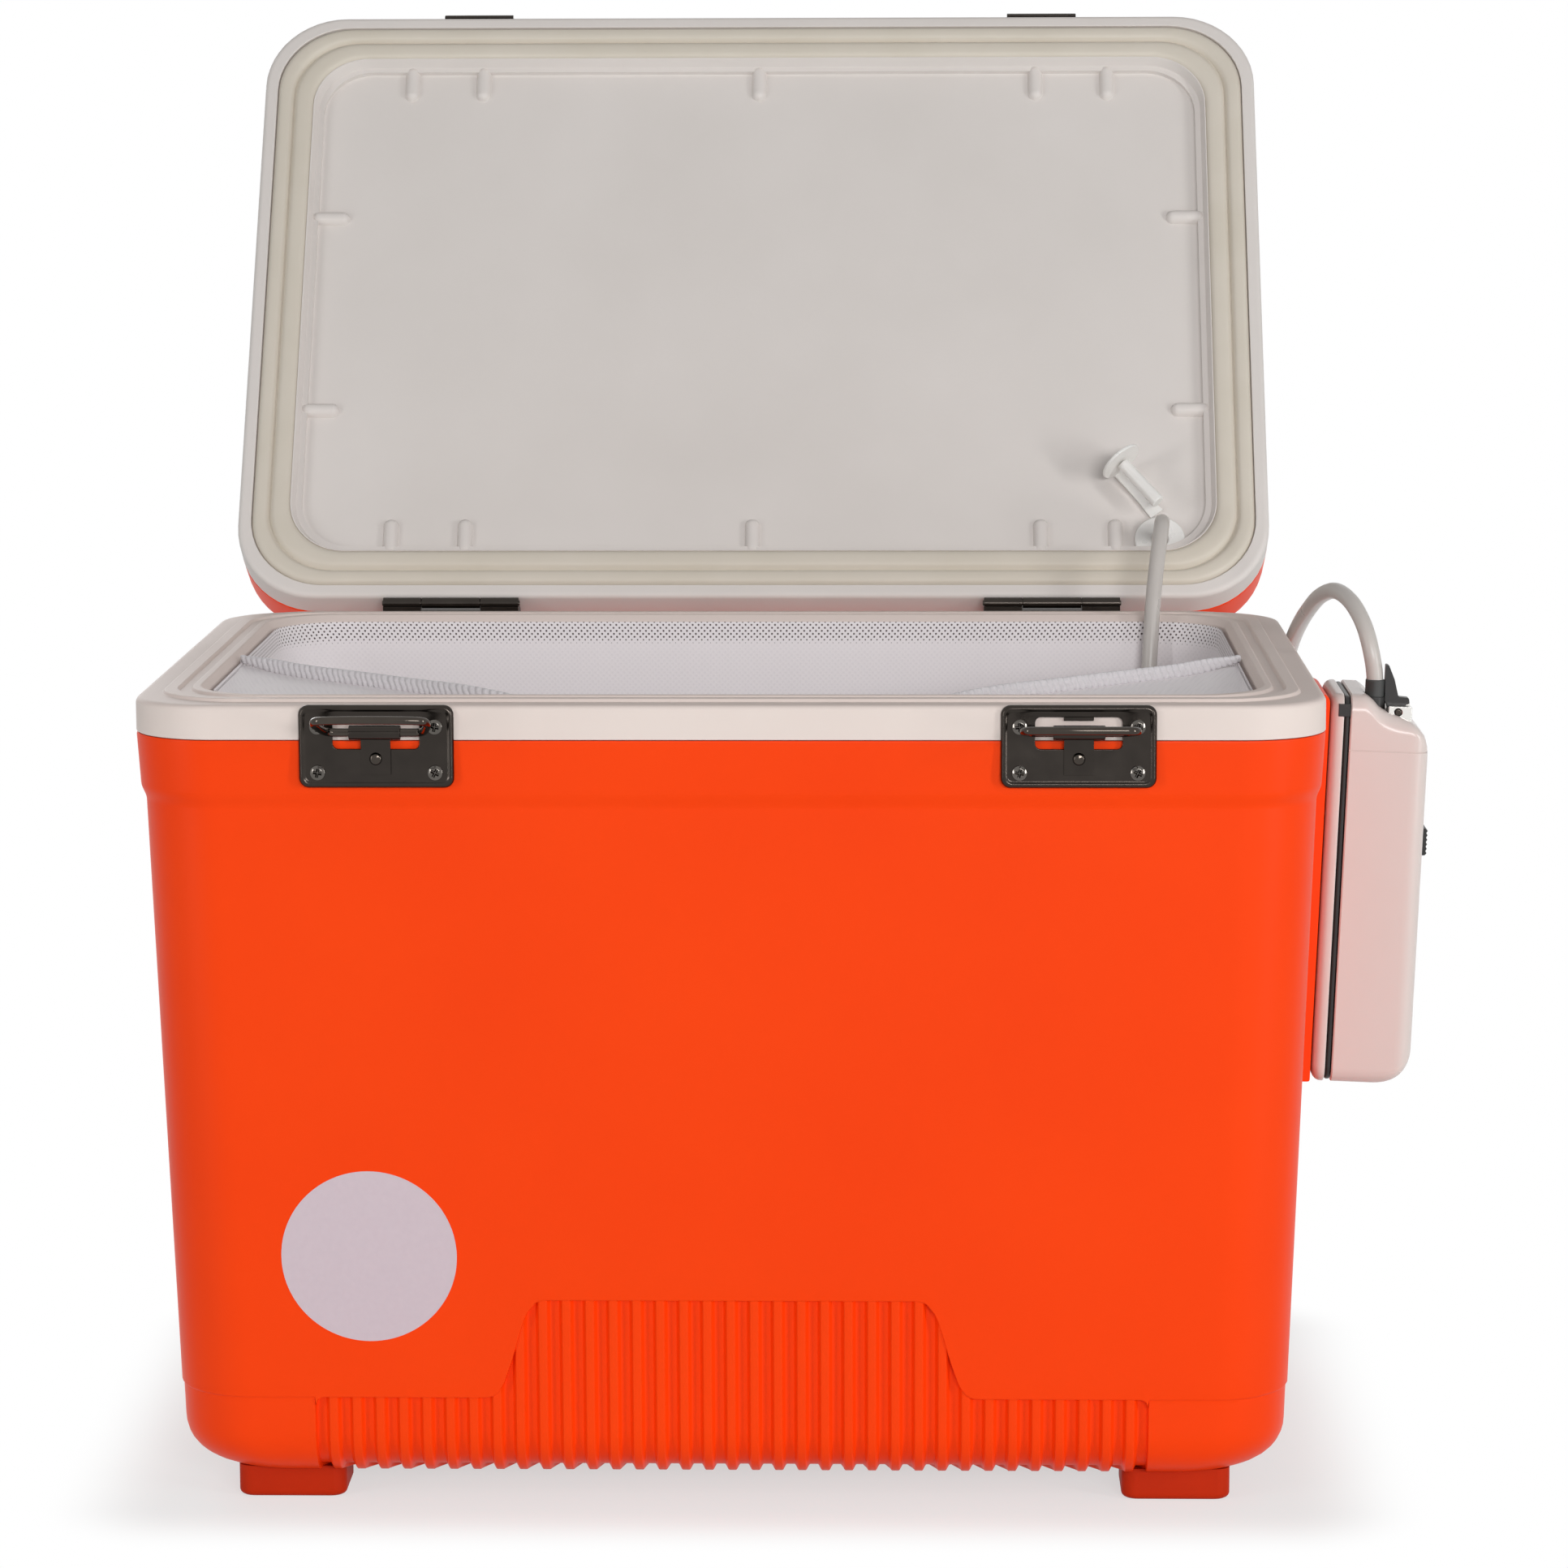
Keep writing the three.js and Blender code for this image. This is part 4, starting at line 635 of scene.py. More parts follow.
def shellRow(columns, inset, z, sunk=0, outward=1, downward=0, base=0):
    # one ring of the shell; inset and z are functions of the place along the front
    side = ribs["halfWidth"] + 20
    insetHere = inset(side) + base * tub["baseStep"]
    radius = tubRadius(insetHere)
    halfX, halfY = tub["width"] / 2 - insetHere, tub["depth"] / 2 - insetHere
    squeeze = min(1, (halfX - radius - 0.5) / (columns[-1] + 0.1))
    ring = ringOf(roundedPlan(halfX, halfY, radius), z(side))
    # the front's own columns go in between the third corner and the last
    start = 3 * (cornerSteps + 1)
    front = []
    for x in columns:
        depth = sunk * ribs["depth"] * valleyShare(x)
        insetFront = inset(x) + base * tub["baseStep"] + depth * outward
        front.append(Vector((x * squeeze, insetFront - tub["depth"] / 2, z(x) + depth * downward)))
    return ring[:start] + front + ring[start:]


def flat(value):
    return lambda x: value


def onWall(height):
    return lambda x: wallInset(height(x))


def outerShell():
    columns = frontColumns()
    bend = tub["underside"] + tub["edge"]
    foot = wallInset(bend) + tub["edge"]
    rows = []
    for tuck, sunk in ((9, 0), (ribs["tuck"] + 0.4, 0), (ribs["tuck"], 1), (3, 1)):
        rows.append(shellRow(columns, flat(foot + tuck), flat(tub["underside"]), sunk, 0, 1, 1))
    for step in range(11):
        angle = step / 10 * pi / 2
        inset, up = tub["edge"] * (1 - sin(angle)), tub["edge"] * (1 - cos(angle))
        rows.append(shellRow(columns, flat(wallInset(bend) + inset), flat(tub["underside"] + up), 1,
                             sin(angle), cos(angle), 1))
    for share in (0.2, 0.45, 0.7, 0.88, 1):
        height = lambda x: lerp(bend, fieldTop(x) - ribs["lipDrop"], share)
        rows.append(shellRow(columns, onWall(height), height, 1, 1, 0, 1))
    rows.append(shellRow(columns, onWall(fieldTop), fieldTop, base=0.5))
    above = lambda x: fieldTop(x) + ribs["lipRise"]
    rows.append(shellRow(columns, onWall(above), above))
    for share in (0.03, 0.12, 0.35, 0.65, 1):
        height = lambda x: lerp(above(x), tub["stepFoot"], share)
        rows.append(shellRow(columns, onWall(height), height))
    levels = [(wallInset(z), z) for z in (263, 264, 265.2, 266.4, 267.5, tub["bandFoot"], 274, 286.4)]
    # over the shoulder and inside, down to the floor of the hidden cavity
    shoulder = tub["bandTop"] - 0.3
    levels += [(0.3, shoulder), (2.8, shoulder), (2.8, 297.5), (5.8, 297.5), (5.8, 262),
               (wallInset(44) + tub["wall"], 44)]
    radius = tub["edge"] - tub["wall"] - ribs["depth"]
    for step in range(5):
        angle = (1 - step / 4) * pi / 2
        levels.append((wallInset(bend) + tub["wall"] + ribs["depth"] + radius * (1 - sin(angle)),
                       tub["underside"] + tub["wall"] + radius * (1 - cos(angle))))
    return loft(rows + [shellRow(columns, flat(inset), flat(z)) for inset, z in levels])


pad = {"half": 24, "top": 150, "embed": 1, "corner": 4}


def pumpPad():
    lean = radians(pump["tilt"])
    faceX, footZ = pump["place"][0], pump["place"][2]
    alongX = lambda up: faceX + up * sin(lean)
    alongZ = lambda up: footZ + up * cos(lean)
    inside = lambda z: tub["width"] / 2 - wallInset(z) - pad["embed"]
    rimSide, shoulder, top = tub["width"] / 2 + 0.3, tub["bandTop"] - 0.3, pad["top"]
    corners = [
        (inside(footZ), footZ, 0), (alongX(0), alongZ(0), 1), (alongX(top), alongZ(top), pad["corner"]),
        (rimSide, alongZ(top), 0), (rimSide, shoulder, 0), (inside(280), shoulder, 0),
        (inside(tub["bandFoot"]), tub["bandFoot"], 0), (inside(tub["stepFoot"]), tub["stepFoot"], 0),
    ]
    return prism(softened(corners, 5, closed=True), -pad["half"], pad["half"], "xz")


addPiece("tub_shell", outerShell(), tubFrame, "orange", "tub", "outer_shell")
addPiece("tub_pump_pad", pumpPad(), tubFrame, "orange", "tub", "outer_shell", bevel=1.6, sharp=45)
print("outer shell made")

# Feet, moulded in the shell's colour

foot = {"halfX": 20, "halfY": 15, "x": 163.5, "y": 100, "corner": 5, "round": 3.5}


def addFeet():
    profile = softened([(6, 0, 0), (0, 0, foot["round"]), (-0.3, tub["underside"] + 1, 0)], 6)
    for end, y in (("front", -foot["y"]), ("rear", foot["y"])):
        for side, sign in bothSides:
            rings = []
            for inset, z in profile:
                inset = max(inset, 0)
                plan = roundedPlan(foot["halfX"] - inset, foot["halfY"] - inset,
                                   max(foot["corner"] - inset / 3, 2))
                rings.append(ringOf(plan, z, shift=(sign * foot["x"], y)))
            addPiece(f"tub_foot_{end}_{side}", loft(rings), tubFrame, "foot", "tub", f"foot_{end}_{side}")


addFeet()

# Inner liner of the tub: rim with its lip and ridge, throat and well

liner = {"floor": 46, "floorInset": 45, "floorRound": 14, "throatZ": 290, "throatInset": 25, "wall": 3,
         "centre": 90}


def linerShape():
    throat, throatZ, floor, wall = (liner[key] for key in ("throatInset", "throatZ", "floor", "wall"))
    inset, bend, centre = (liner[key] for key in ("floorInset", "floorRound", "centre"))
    corners = [
        (centre, floor - wall, 0), (inset - wall, floor - wall, bend + wall), (throat - wall, throatZ, 0),
        (20.5, 297.5, 0), (2.5, 297.5, 0), (2.5, 287.5, 0), (0, 287.5, 0.5), (0, 300, 2.4), (8.6, 300, 0.5),
        (9.2, 301.2, 0.6), (13.5, 301.2, 0.6), (14.2, 300, 0.5), (17.7, 300, 0.5), (18.4, 301.2, 0.6),
        (21, 301.2, 1), (23, 298.8, 1.2), (throat, throatZ, 4), (inset, floor, bend), (centre, floor, 0),
    ]
    return loft([ringOf(roundedPlan(tub["width"] / 2 - inset, tub["depth"] / 2 - inset, tubRadius(inset)), z)
                 for inset, z in softened(corners, 6)])


addPiece("tub_liner", linerShape(), tubFrame, "white", "tub", "inner_liner")
for name in ("insulation_foam", "lid_foam"):
    foamSkins = frame["nodes"][name].data.materials
    foamSkins.clear()
    foamSkins.append(finishes["foam"])
print("liner made")

# Round label on the front, left bare

sticker = {"radius": 32, "x": -131.5, "z": 96.5, "proud": 0.12}


def addSticker():
    lean = radians(tub["draft"])
    y = wallInset(sticker["z"]) - tub["depth"] / 2
    disc = turned([(0.5, 0), (sticker["radius"], 0), (sticker["radius"], sticker["proud"] * 0.6),
                   (sticker["radius"] - 0.1, sticker["proud"]), (0.5, sticker["proud"])], 96)
    turn = at(sticker["x"], y, sticker["z"]) @ about("X", pi / 2 + lean)
    addPiece("round_label", placed(disc, turn), tubFrame, "label", "tub")


addSticker()

# Bail latches: pressed plate, leaf rolled round the bail, rivet and pan-head screws

latch = {
    "x": 125, "halfX": 27.7, "low": 270.5, "high": 300.3, "corner": 3.5, "back": -142.3, "face": -143.5,
    "slotHalf": 15.5, "slotLow": 284.5, "slotHigh": 296, "slotCorner": 2, "bead": 0.55, "beadWidth": 2.6,
    "screwX": 21, "screwZ": (276, 292.5), "head": 2.75, "headHeight": 1.2, "pivotY": -147.2, "pivotZ": 291,
    "barrel": 2.6, "bore": 1.8, "barrelHalf": 9.2, "leafHalf": 5.3, "leaf": 1, "leafLow": 275.4,
    "leafBend": 285.5, "tongue": (294.7, 296.6), "rivetZ": 281.2, "rivet": 2.3,
}
bail = {"wire": 1.5, "reach": 20, "half": 20, "rest": {"left": 20, "right": 10}}
bailShares = ((0, 0.06), (0, 0.4), (0, 0.68), (0.02, 0.8), (0.12, 0.885), (0.32, 0.94), (0.56, 0.98),
              (0.76, 1), (0.93, 0.95), (1, 0.78))


def plateRing(halfX, low, high, corner, y):
    return ringOf(roundedPlan(halfX, (high - low) / 2, corner, 6), y, "xz", (0, (low + high) / 2))


def latchPlate():
    back, face = latch["back"], latch["face"]
    slot = [(0, back), (0, face + 0.25), (0.12, face + 0.06), (0.3, face)]
    rings = [plateRing(latch["slotHalf"] + grow, latch["slotLow"] - grow, latch["slotHigh"] + grow,
                       latch["slotCorner"] + grow, y) for grow, y in slot]
    width, crest = latch["beadWidth"], face - latch["bead"]
    edge = [(width, face), (width - 0.5, face - 0.12), (1.7, crest + 0.08), (1.2, crest), (0.7, face - 0.38),
            (0.25, face + 0.1), (0, face + 0.7), (0, back)]
    for inset, y in edge:
        rings.append(plateRing(latch["halfX"] - inset, latch["low"] + inset, latch["high"] - inset,
                               max(latch["corner"] - inset * 0.6, 1), y))
    return loft(rings, closed=True)


def rolledBarrel(bore, radius, start, end, soft, sides):
    # a barrel rolled from sheet, round the z axis
    corners = [(bore, start, soft[0]), (radius, start, soft[1]), (radius, end, soft[1]), (bore, end, soft[0])]
    return spun(corners, 2, sides, closed=True)


def latchLeaf():
    face = latch["face"] - 0.3
    pivotY, pivotZ, thick, barrel = latch["pivotY"], latch["pivotZ"], latch["leaf"], latch["barrel"]
    outline = [
        (face, latch["leafLow"]), (face, latch["leafBend"]), (pivotY + barrel - 0.2, pivotZ),
        (pivotY + barrel - thick - 0.4, pivotZ), (face - thick, latch["leafBend"] - 0.5),
        (face - thick, latch["leafLow"]),
    ]
    half, back = latch["leafHalf"], latch["back"]
    leaf = prism(outline, -half, half, "yz")
    tongue = block(-half, half, back - 0.9, back - 0.1, *latch["tongue"])
    roll = rolledBarrel(latch["bore"], barrel, -latch["barrelHalf"], latch["barrelHalf"], (0.15, 0.25), 28)
    return merged([leaf, tongue, placed(roll, at(0, pivotY, pivotZ) @ about("Y", pi / 2))])


def panHead():
    # a pan head with its cross recess, standing on z = 0
    head, tall = latch["head"], latch["headHeight"]
    body = spun([(0.4, -4, 0), (1.1, -4, 0), (1.1, 0, 0), (head, 0, 0), (head, tall * 0.55, 0.4),
                 (head * 0.62, tall, 0.6), (0.4, tall, 0)], 4, 32)
    high, low = tall + 0.1, tall - 0.9
    arm = prism([(-0.6, high), (0.6, high), (0.1, low), (-0.1, low)], -1.6, 1.6, "yz")
    return carved(body, [arm, placed(arm, about("Z", pi / 2))])


def bailPath():
    half = [Vector((-bail["half"] * side, -bail["reach"] * out, 0)) for out, side in bailShares]
    return smoothPath(half + [Vector((-point.x, point.y, 0)) for point in reversed(half)], 6)


def addLatches():
    plate, leaf, screw, wire = latchPlate(), latchLeaf(), panHead(), tubeAlong(bailPath(), bail["wire"], 20)
    radius = latch["rivet"]
    rivet = spun([(radius, 0, 0), (radius, 0.4, 0.2), (radius * 0.75, 1.2, 0.9), (0.2, 1.5, 0)], 5, 32)
    facing = about("X", pi / 2)
    for side, sign in bothSides:
        here = tubFrame @ at(sign * latch["x"], 0, 0)
        addPiece(f"latch_{side}_plate", plate, here, "dark", "tub", f"latch_plate_{side}", sharp=50)
        addPiece(f"latch_{side}_leaf", leaf, here, "dark", "tub", f"latch_leaf_{side}", bevel=0.3, sharp=40)
        rivetPlace = at(0, latch["face"] - 1.1, latch["rivetZ"]) @ facing
        addPiece(f"latch_{side}_rivet", rivet, here @ rivetPlace, "wire", "tub", f"latch_rivet_{side}")
        for level, z in zip(("low", "high"), latch["screwZ"]):
            for hand, way in (("a", -1), ("b", 1)):
                turn = about("Z", radians(20 + 37 * way + z))
                there = here @ at(way * latch["screwX"], latch["face"] - 0.1, z) @ facing @ turn
                addPiece(f"latch_{side}_screw_{level}_{hand}", screw, there, "nickel", "tub",
                         f"latch_screw_{side}_{level}_{hand}", sharp=30)
        there = here @ at(0, latch["pivotY"], latch["pivotZ"]) @ about("X", -radians(bail["rest"][side]))
        addPiece(f"latch_{side}_bail", wire, there, "wire", f"{side}_bail", f"latch_bail_{side}")


addLatches()
print("latches made")

# Lid, drawn closed in its own frame: liner with short ribs, gasket, shell

lid = {
    "width": 429, "depth": 284, "corner": 34, "base": -0.6, "back": -2.8, "band": 13.8, "recess": 7,
    "recessMargin": 22, "panelWall": 2.5, "height": 42, "wall": 3, "topRound": 18, "draft": 0.8,
    "plateau": 50, "crown": 1.2,
}
lidRibs = {
    "length": 17, "width": 6.4, "rise": 3.2, "x": (-151, -120, 0, 120, 151), "along": (91.3, 185.4),
    "round": ((-0.35, -0.5), (0, 0), (0.3, 0.25), (0.55, 0.6), (0.76, 1.1), (0.9, 1.7), (0.98, 2.4), (1, 3)),
}
gasket = {"from": 5.7, "to": 21.9, "valley": 12.9, "rise": 0.9, "sink": 1.2, "floor": 1.7}


def lidRing(inset, up):
    radius = max(lid["corner"] - inset / 2, lid["corner"] / 2)
    plan = roundedPlan(lid["width"] / 2 - inset, lid["depth"] / 2 - inset, radius, 12)
    return ringOf(plan, lid["base"] + up, shift=(0, lid["back"] - lid["depth"] / 2))


def panelRib(x, y, turn):
    # a pill that stands a little proud of the panel, faired into its edge
    rings = []
    for share, shrink in lidRibs["round"]:
        half = lidRibs["width"] / 2 - shrink
        plan = roundedPlan(lidRibs["length"] / 2 - shrink, half, max(half - 0.05, 0.1), 5)
        rings.append(ringOf(plan, -share * lidRibs["rise"]))
    return placed(loft(rings), at(x, y, lid["base"] + lid["recess"]) @ about("Z", turn))


def lidLiner():
    recess, margin, band = lid["recess"], lid["recessMargin"], lid["band"]
    behind = recess + lid["panelWall"]
    corners = [
        (60, recess, 0), (margin + 2.2, recess, 4), (margin - 0.2, 0, 1.2), (21.4, 0, 0), (21.4, 2, 0),
        (5.5, 2, 0), (5.5, 0, 0.4), (0, 0, 2.4), (0, band, 0.4), (2.5, band, 0), (2.5, 4.5, 0), (25.7, 4.5, 0),
        (25.7, behind, 0), (60, behind, 0),
    ]
    parts = [loft([lidRing(inset, up) for inset, up in softened(corners, 6)])]
    reach = margin + lidRibs["length"] / 2 + 0.3
    for x in lidRibs["x"]:
        for y in (lid["back"] - reach, lid["back"] - lid["depth"] + reach):
            parts.append(panelRib(x, y, pi / 2))
    for along in lidRibs["along"]:
        for sign in (-1, 1):
            parts.append(panelRib(sign * (lid["width"] / 2 - reach), lid["back"] - along, 0))
    return merged(parts)


def lidGasket():
    rings = [lidRing(gasket["from"], gasket["floor"])]
    for start, end in ((gasket["from"], gasket["valley"]), (gasket["valley"], gasket["to"])):
        middle, half = (start + end) / 2, (end - start) / 2
        for step in range(9):
            across = -1 + step / 4
            swell = (1 - abs(across) ** 3) ** 0.6
            rings.append(lidRing(middle + across * half * 0.97, lerp(gasket["sink"], -gasket["rise"], swell)))
    rings.append(lidRing(gasket["to"], gasket["floor"]))
    return loft(rings, closed=True)


def lidShell():
    band, high, plateau = lid["band"], lid["height"], lid["plateau"]
    under, crown = high - lid["wall"], high + lid["crown"]
    inside = softened([(62, under, 0), (5.8, under, 15), (5.8, 8, 0), (2.8, 8, 0), (2.8, band + 0.3, 0)], 4)
    outside = softened([(0.3, band + 0.3, 0), (0, band + 0.9, 0.5), (lid["draft"], high, lid["topRound"]),
                        (plateau, high, 3), (plateau + 4, crown, 3), (62, crown, 0)], 8)
    return loft([lidRing(inset, up) for inset, up in inside + outside])


addPiece("lid_inner_panel", lidLiner(), lidFrame, "panel", "lid", "lid_liner")
addPiece("lid_seal", lidGasket(), lidFrame, "gasket", "lid", "lid_gasket")
addPiece("lid_outer_shell", lidShell(), lidFrame, "orange", "lid", "lid_shell")
print("lid made")

# Port in the lid with its grommet, and the stopper on its strap

port = {"x": 169.3, "s": 29.2, "bore": 3.5, "bush": 5.7, "ring": 10.5, "thick": 2, "outer": 9}
plug = {"x": 153.6, "s": 60, "tipX": 168.4, "tipS": 41.2, "stand": 12, "barrel": 2.9, "flange": 9.4,
        "thick": 1.3, "strap": 6.4, "strapThick": 1.1}


def addPort():
    inner = lid["base"] + lid["recess"] - 0.3
    outer = lid["base"] + lid["height"] + 0.3
    bore, bush, thick = port["bore"], port["bush"], port["thick"]
    corners = [
        (bore, inner - thick, 0.6), (port["ring"], inner - thick, 0.9), (port["ring"], inner, 0.2),
        (bush, inner, 0), (bush, outer, 0), (port["outer"], outer, 0.2), (port["outer"], outer + thick, 0.9),
        (bore, outer + thick, 0.6),
    ]
    here = lidFrame @ at(port["x"], lid["back"] - port["s"], 0)
    addPiece("port_bush", spun(corners, 4, 48, closed=True), here, "silicone", "lid", "port_grommet")


def addStopper():
    along = Vector((plug["tipX"] - plug["x"], plug["s"] - plug["tipS"]))
    length, radius, rim, thick = along.length, plug["barrel"], plug["flange"], plug["thick"]
    barrel = spun([(1.4, -length, 0), (radius, -length, 1.2), (radius * 0.86, -1, 0)], 4, 32)
    flange = spun([(1, 0, 0), (rim, 0, 0.5), (rim, thick, 0.5), (1, thick, 0)], 4, 40)
    # the strap rises from the flange's edge to the panel and arches a little on the way
    strap = plug["strapThick"]
    strapEnd = hypot(port["x"] - plug["x"], plug["s"] - port["s"]) - port["ring"] - 0.3
    highest = plug["stand"] - 0.6 - strap
    rows = []
    for step in range(15):
        share = step / 14
        level = min(lerp(rim - strap, highest, eased(share)) + 1.1 * sin(pi * share), highest)
        half = plug["strap"] / 2 * (1 - 0.25 * sin(pi * share))
        rows.append(ringOf([(-half, level), (half, level), (half, level + strap), (-half, level + strap)],
                           lerp(-thick, strapEnd, share), "yz"))
    turn = about("Y", -pi / 2)
    here = (lidFrame @ at(plug["x"], lid["back"] - plug["s"], lid["base"] + lid["recess"] - plug["stand"])
            @ about("Z", atan2(along.y, along.x)))
    parts = [placed(barrel, turn), placed(flange, turn), loft(rows)]
    addPiece("port_stopper", merged(parts), here, "silicone", "lid", "port_plug", sharp=50)


addPort()
addStopper()

# Catch plates on the lid's front edge, and the two butt hinges

catch = {"x": 122.9, "half": 15, "low": 1.2, "high": 20, "plate": 1.2, "lipLow": 2.5, "lipHigh": 6,
         "reach": 1.1}
hinge = {"x": 124, "half": 28, "middle": 12, "knuckle": 2.4, "bore": 1.45, "pin": 1.2, "leaf": 1.2, "long": 30,
         "back": -2.5, "screwX": (-20, 0, 20), "screwZ": 19, "screw": 2.4, "place": (0, 144.8, 303),
         "pinHalf": 28.5}


def addCatches():
    back = lid["back"] - lid["depth"] - 0.3
    face = back - catch["plate"]
    base = lid["base"]
    corners = [
        (back, base + catch["low"], 0), (back, base + catch["high"], 0.3), (face, base + catch["high"], 0.5),
        (face, base + catch["lipHigh"], 0.5), (face - catch["reach"], base + catch["lipHigh"], 0.5),
        (face - catch["reach"], base + catch["lipLow"], 0.5), (face, base + catch["low"], 0.6),
    ]
    part = prism(softened(corners, 4, closed=True), -catch["half"], catch["half"], "yz")
    for side, sign in bothSides:
        here = lidFrame @ at(sign * catch["x"], 0, 0)
        addPiece(f"lid_{side}_catch", part, here, "dark", "lid", f"lid_catch_{side}", bevel=0.35, sharp=50)


def hingeLeaf(spans, sign):
    # a leaf that hangs below its pin, or stands above it, with its share of the knuckles
    back, leaf, knuckle = hinge["back"], hinge["leaf"], hinge["knuckle"]
    near, far = sorted((sign * (knuckle + 0.6), sign * hinge["long"]))
    plan = roundedPlan(hinge["half"], (far - near) / 2, 1.6, 4)
    parts = [prism(plan, back, back + leaf, "xz", (0, (near + far) / 2))]
    for start, end in spans:
        parts.append(block(start, end, back, back + leaf, *sorted((sign * 1.2, sign * (knuckle + 1.5)))))
        roll = rolledBarrel(hinge["bore"], knuckle, start, end, (0.1, 0.2), 24)
        parts.append(placed(roll, about("Y", pi / 2)))
    return merged(parts)


def pinOf(radius, half, core, soft, sides):
    return spun([(core, -half, 0), (radius, -half, soft), (radius, half, soft), (core, half, 0)], 3, sides)


def addHinges():
    half, middle = hinge["half"], hinge["middle"]
    pin = placed(pinOf(hinge["pin"], hinge["pinHalf"], 0.3, 0.4, 20), about("Y", pi / 2))
    head = spun([(hinge["screw"], 0, 0), (hinge["screw"], 0.25, 0.1), (0.3, 0.6, 0)], 3, 24)
    slotted = carved(head, [block(-1.3, 1.3, -0.28, 0.28, 0.1, 2), block(-0.28, 0.28, -1.3, 1.3, 0.1, 2)])
    tubHinge = tubFrame @ at(*hinge["place"])
    outerSpans = [(-half, -middle - 0.3), (middle + 0.3, half)]
    for side, sign in bothSides:
        shift = at(sign * hinge["x"], 0, 0)
        addPiece(f"hinge_{side}_tub_leaf", hingeLeaf(outerSpans, -1), tubHinge @ shift, "dark", "tub",
                 f"hinge_leaf_body_{side}", bevel=0.25, sharp=50)
        addPiece(f"hinge_{side}_lid_leaf", hingeLeaf([(-middle, middle)], 1), lidFrame @ shift, "dark", "lid",
                 f"hinge_leaf_lid_{side}", bevel=0.25, sharp=50)
        addPiece(f"hinge_{side}_pin", pin, tubHinge @ shift, "wire", "tub", f"hinge_pin_{side}")
        for owner, place, way in (("tub", tubHinge, -1), ("lid", lidFrame, 1)):
            y, z = hinge["back"] + hinge["leaf"], way * hinge["screwZ"]
            heads = [placed(slotted, at(x, y, z) @ about("X", -pi / 2) @ about("Z", radians(25 * x)))
                     for x in hinge["screwX"]]
            piece = addPiece(f"hinge_{side}_{owner}_screws", merged(heads), place @ shift, "nickel", owner,
                             sharp=30)


addCatches()
addHinges()
print("hinges made")

# Air pump on the right-hand wall, in a frame that leans with the wall: x out, z up

pumpTop = ((0, 150), (13.4, 150), (16, 148.4), (18.5, 145.6), (21.5, 143.6), (26.3, 142.1), (31, 140.2),
           (34.1, 138), (36.4, 135.2), (37.6, 132), (38.2, 128.4))
caseSlices = (11, 13.4, 15, 16.5, 18.5, 20, 22, 24.2, 26.3, 28.5, 31, 32.6, 34.1, 35.4, 36.4, 37.1, 37.7, 38)
door = {"half": 20, "low": 22, "high": 78, "thick": 2.4, "barrel": 1.3, "grips": (68, 70.4, 72.8),
        "gripHalf": 9}
knob = {"z": 92, "half": 7, "tall": 10.5, "proud": 3, "stem": 2.4, "stemTall": 4, "travel": 6, "stemLong": 5}
nozzle = {"x": 17.5, "y": -14, "foot": 142, "collar": 148.7, "top": 155.2, "base": 4.2, "neck": 3.3,
          "sleeve": 3.75}
clevis = {"fromX": 22.5, "toX": 31.5, "foot": 137.5, "top": 145.6, "half": 6, "slot": 2.4, "slotFoot": 139.2,
          "pinX": 26.2, "pinZ": 143.4, "pin": 1.2, "pinHalf": 6.3, "bore": 1.45}
cell = {"radius": 13, "foot": 12.5, "pitch": 50.3, "top": 48.8, "crimp": 9, "cap": 48.4, "button": 3,
        "buttonTop": 50}
motor = {"radius": 9, "foot": 58, "top": 86, "head": (90.3, 116.3), "headHalf": 8.5, "ridges": (96, 104)}
pinPlace = at(clevis["pinX"], nozzle["y"], clevis["pinZ"]) @ about("X", pi / 2)


def caseRing(x, shrink=0):
    # a slice of the pump across its x axis
    far = pump["caseTo"] - shrink
    low = shrink
    if x > far - pump["foot"]:
        low += pump["foot"] - sqrt(max(pump["foot"] ** 2 - (x - far + pump["foot"]) ** 2, 0))
    high = between(pumpTop, x + shrink) - shrink
    half = pump["half"] - shrink
    if x > far - pump["side"]:
        half -= pump["side"] - sqrt(max(pump["side"] ** 2 - (x - far + pump["side"]) ** 2, 0))
    corner = clamp(pump["corner"] - shrink / 2 - max(0, x - 26) * 0.35, 2, 20)
    return ringOf(roundedPlan(half, (high - low) / 2, corner, 7), x, "yz", (0, (low + high) / 2))


def caseCore(places, shrink, low, high):
    # the room inside the case's skin, kept between two heights
    return loft([[Vector((x, p.y, clamp(p.z, low, high))) for p in caseRing(x, shrink)] for x in places])


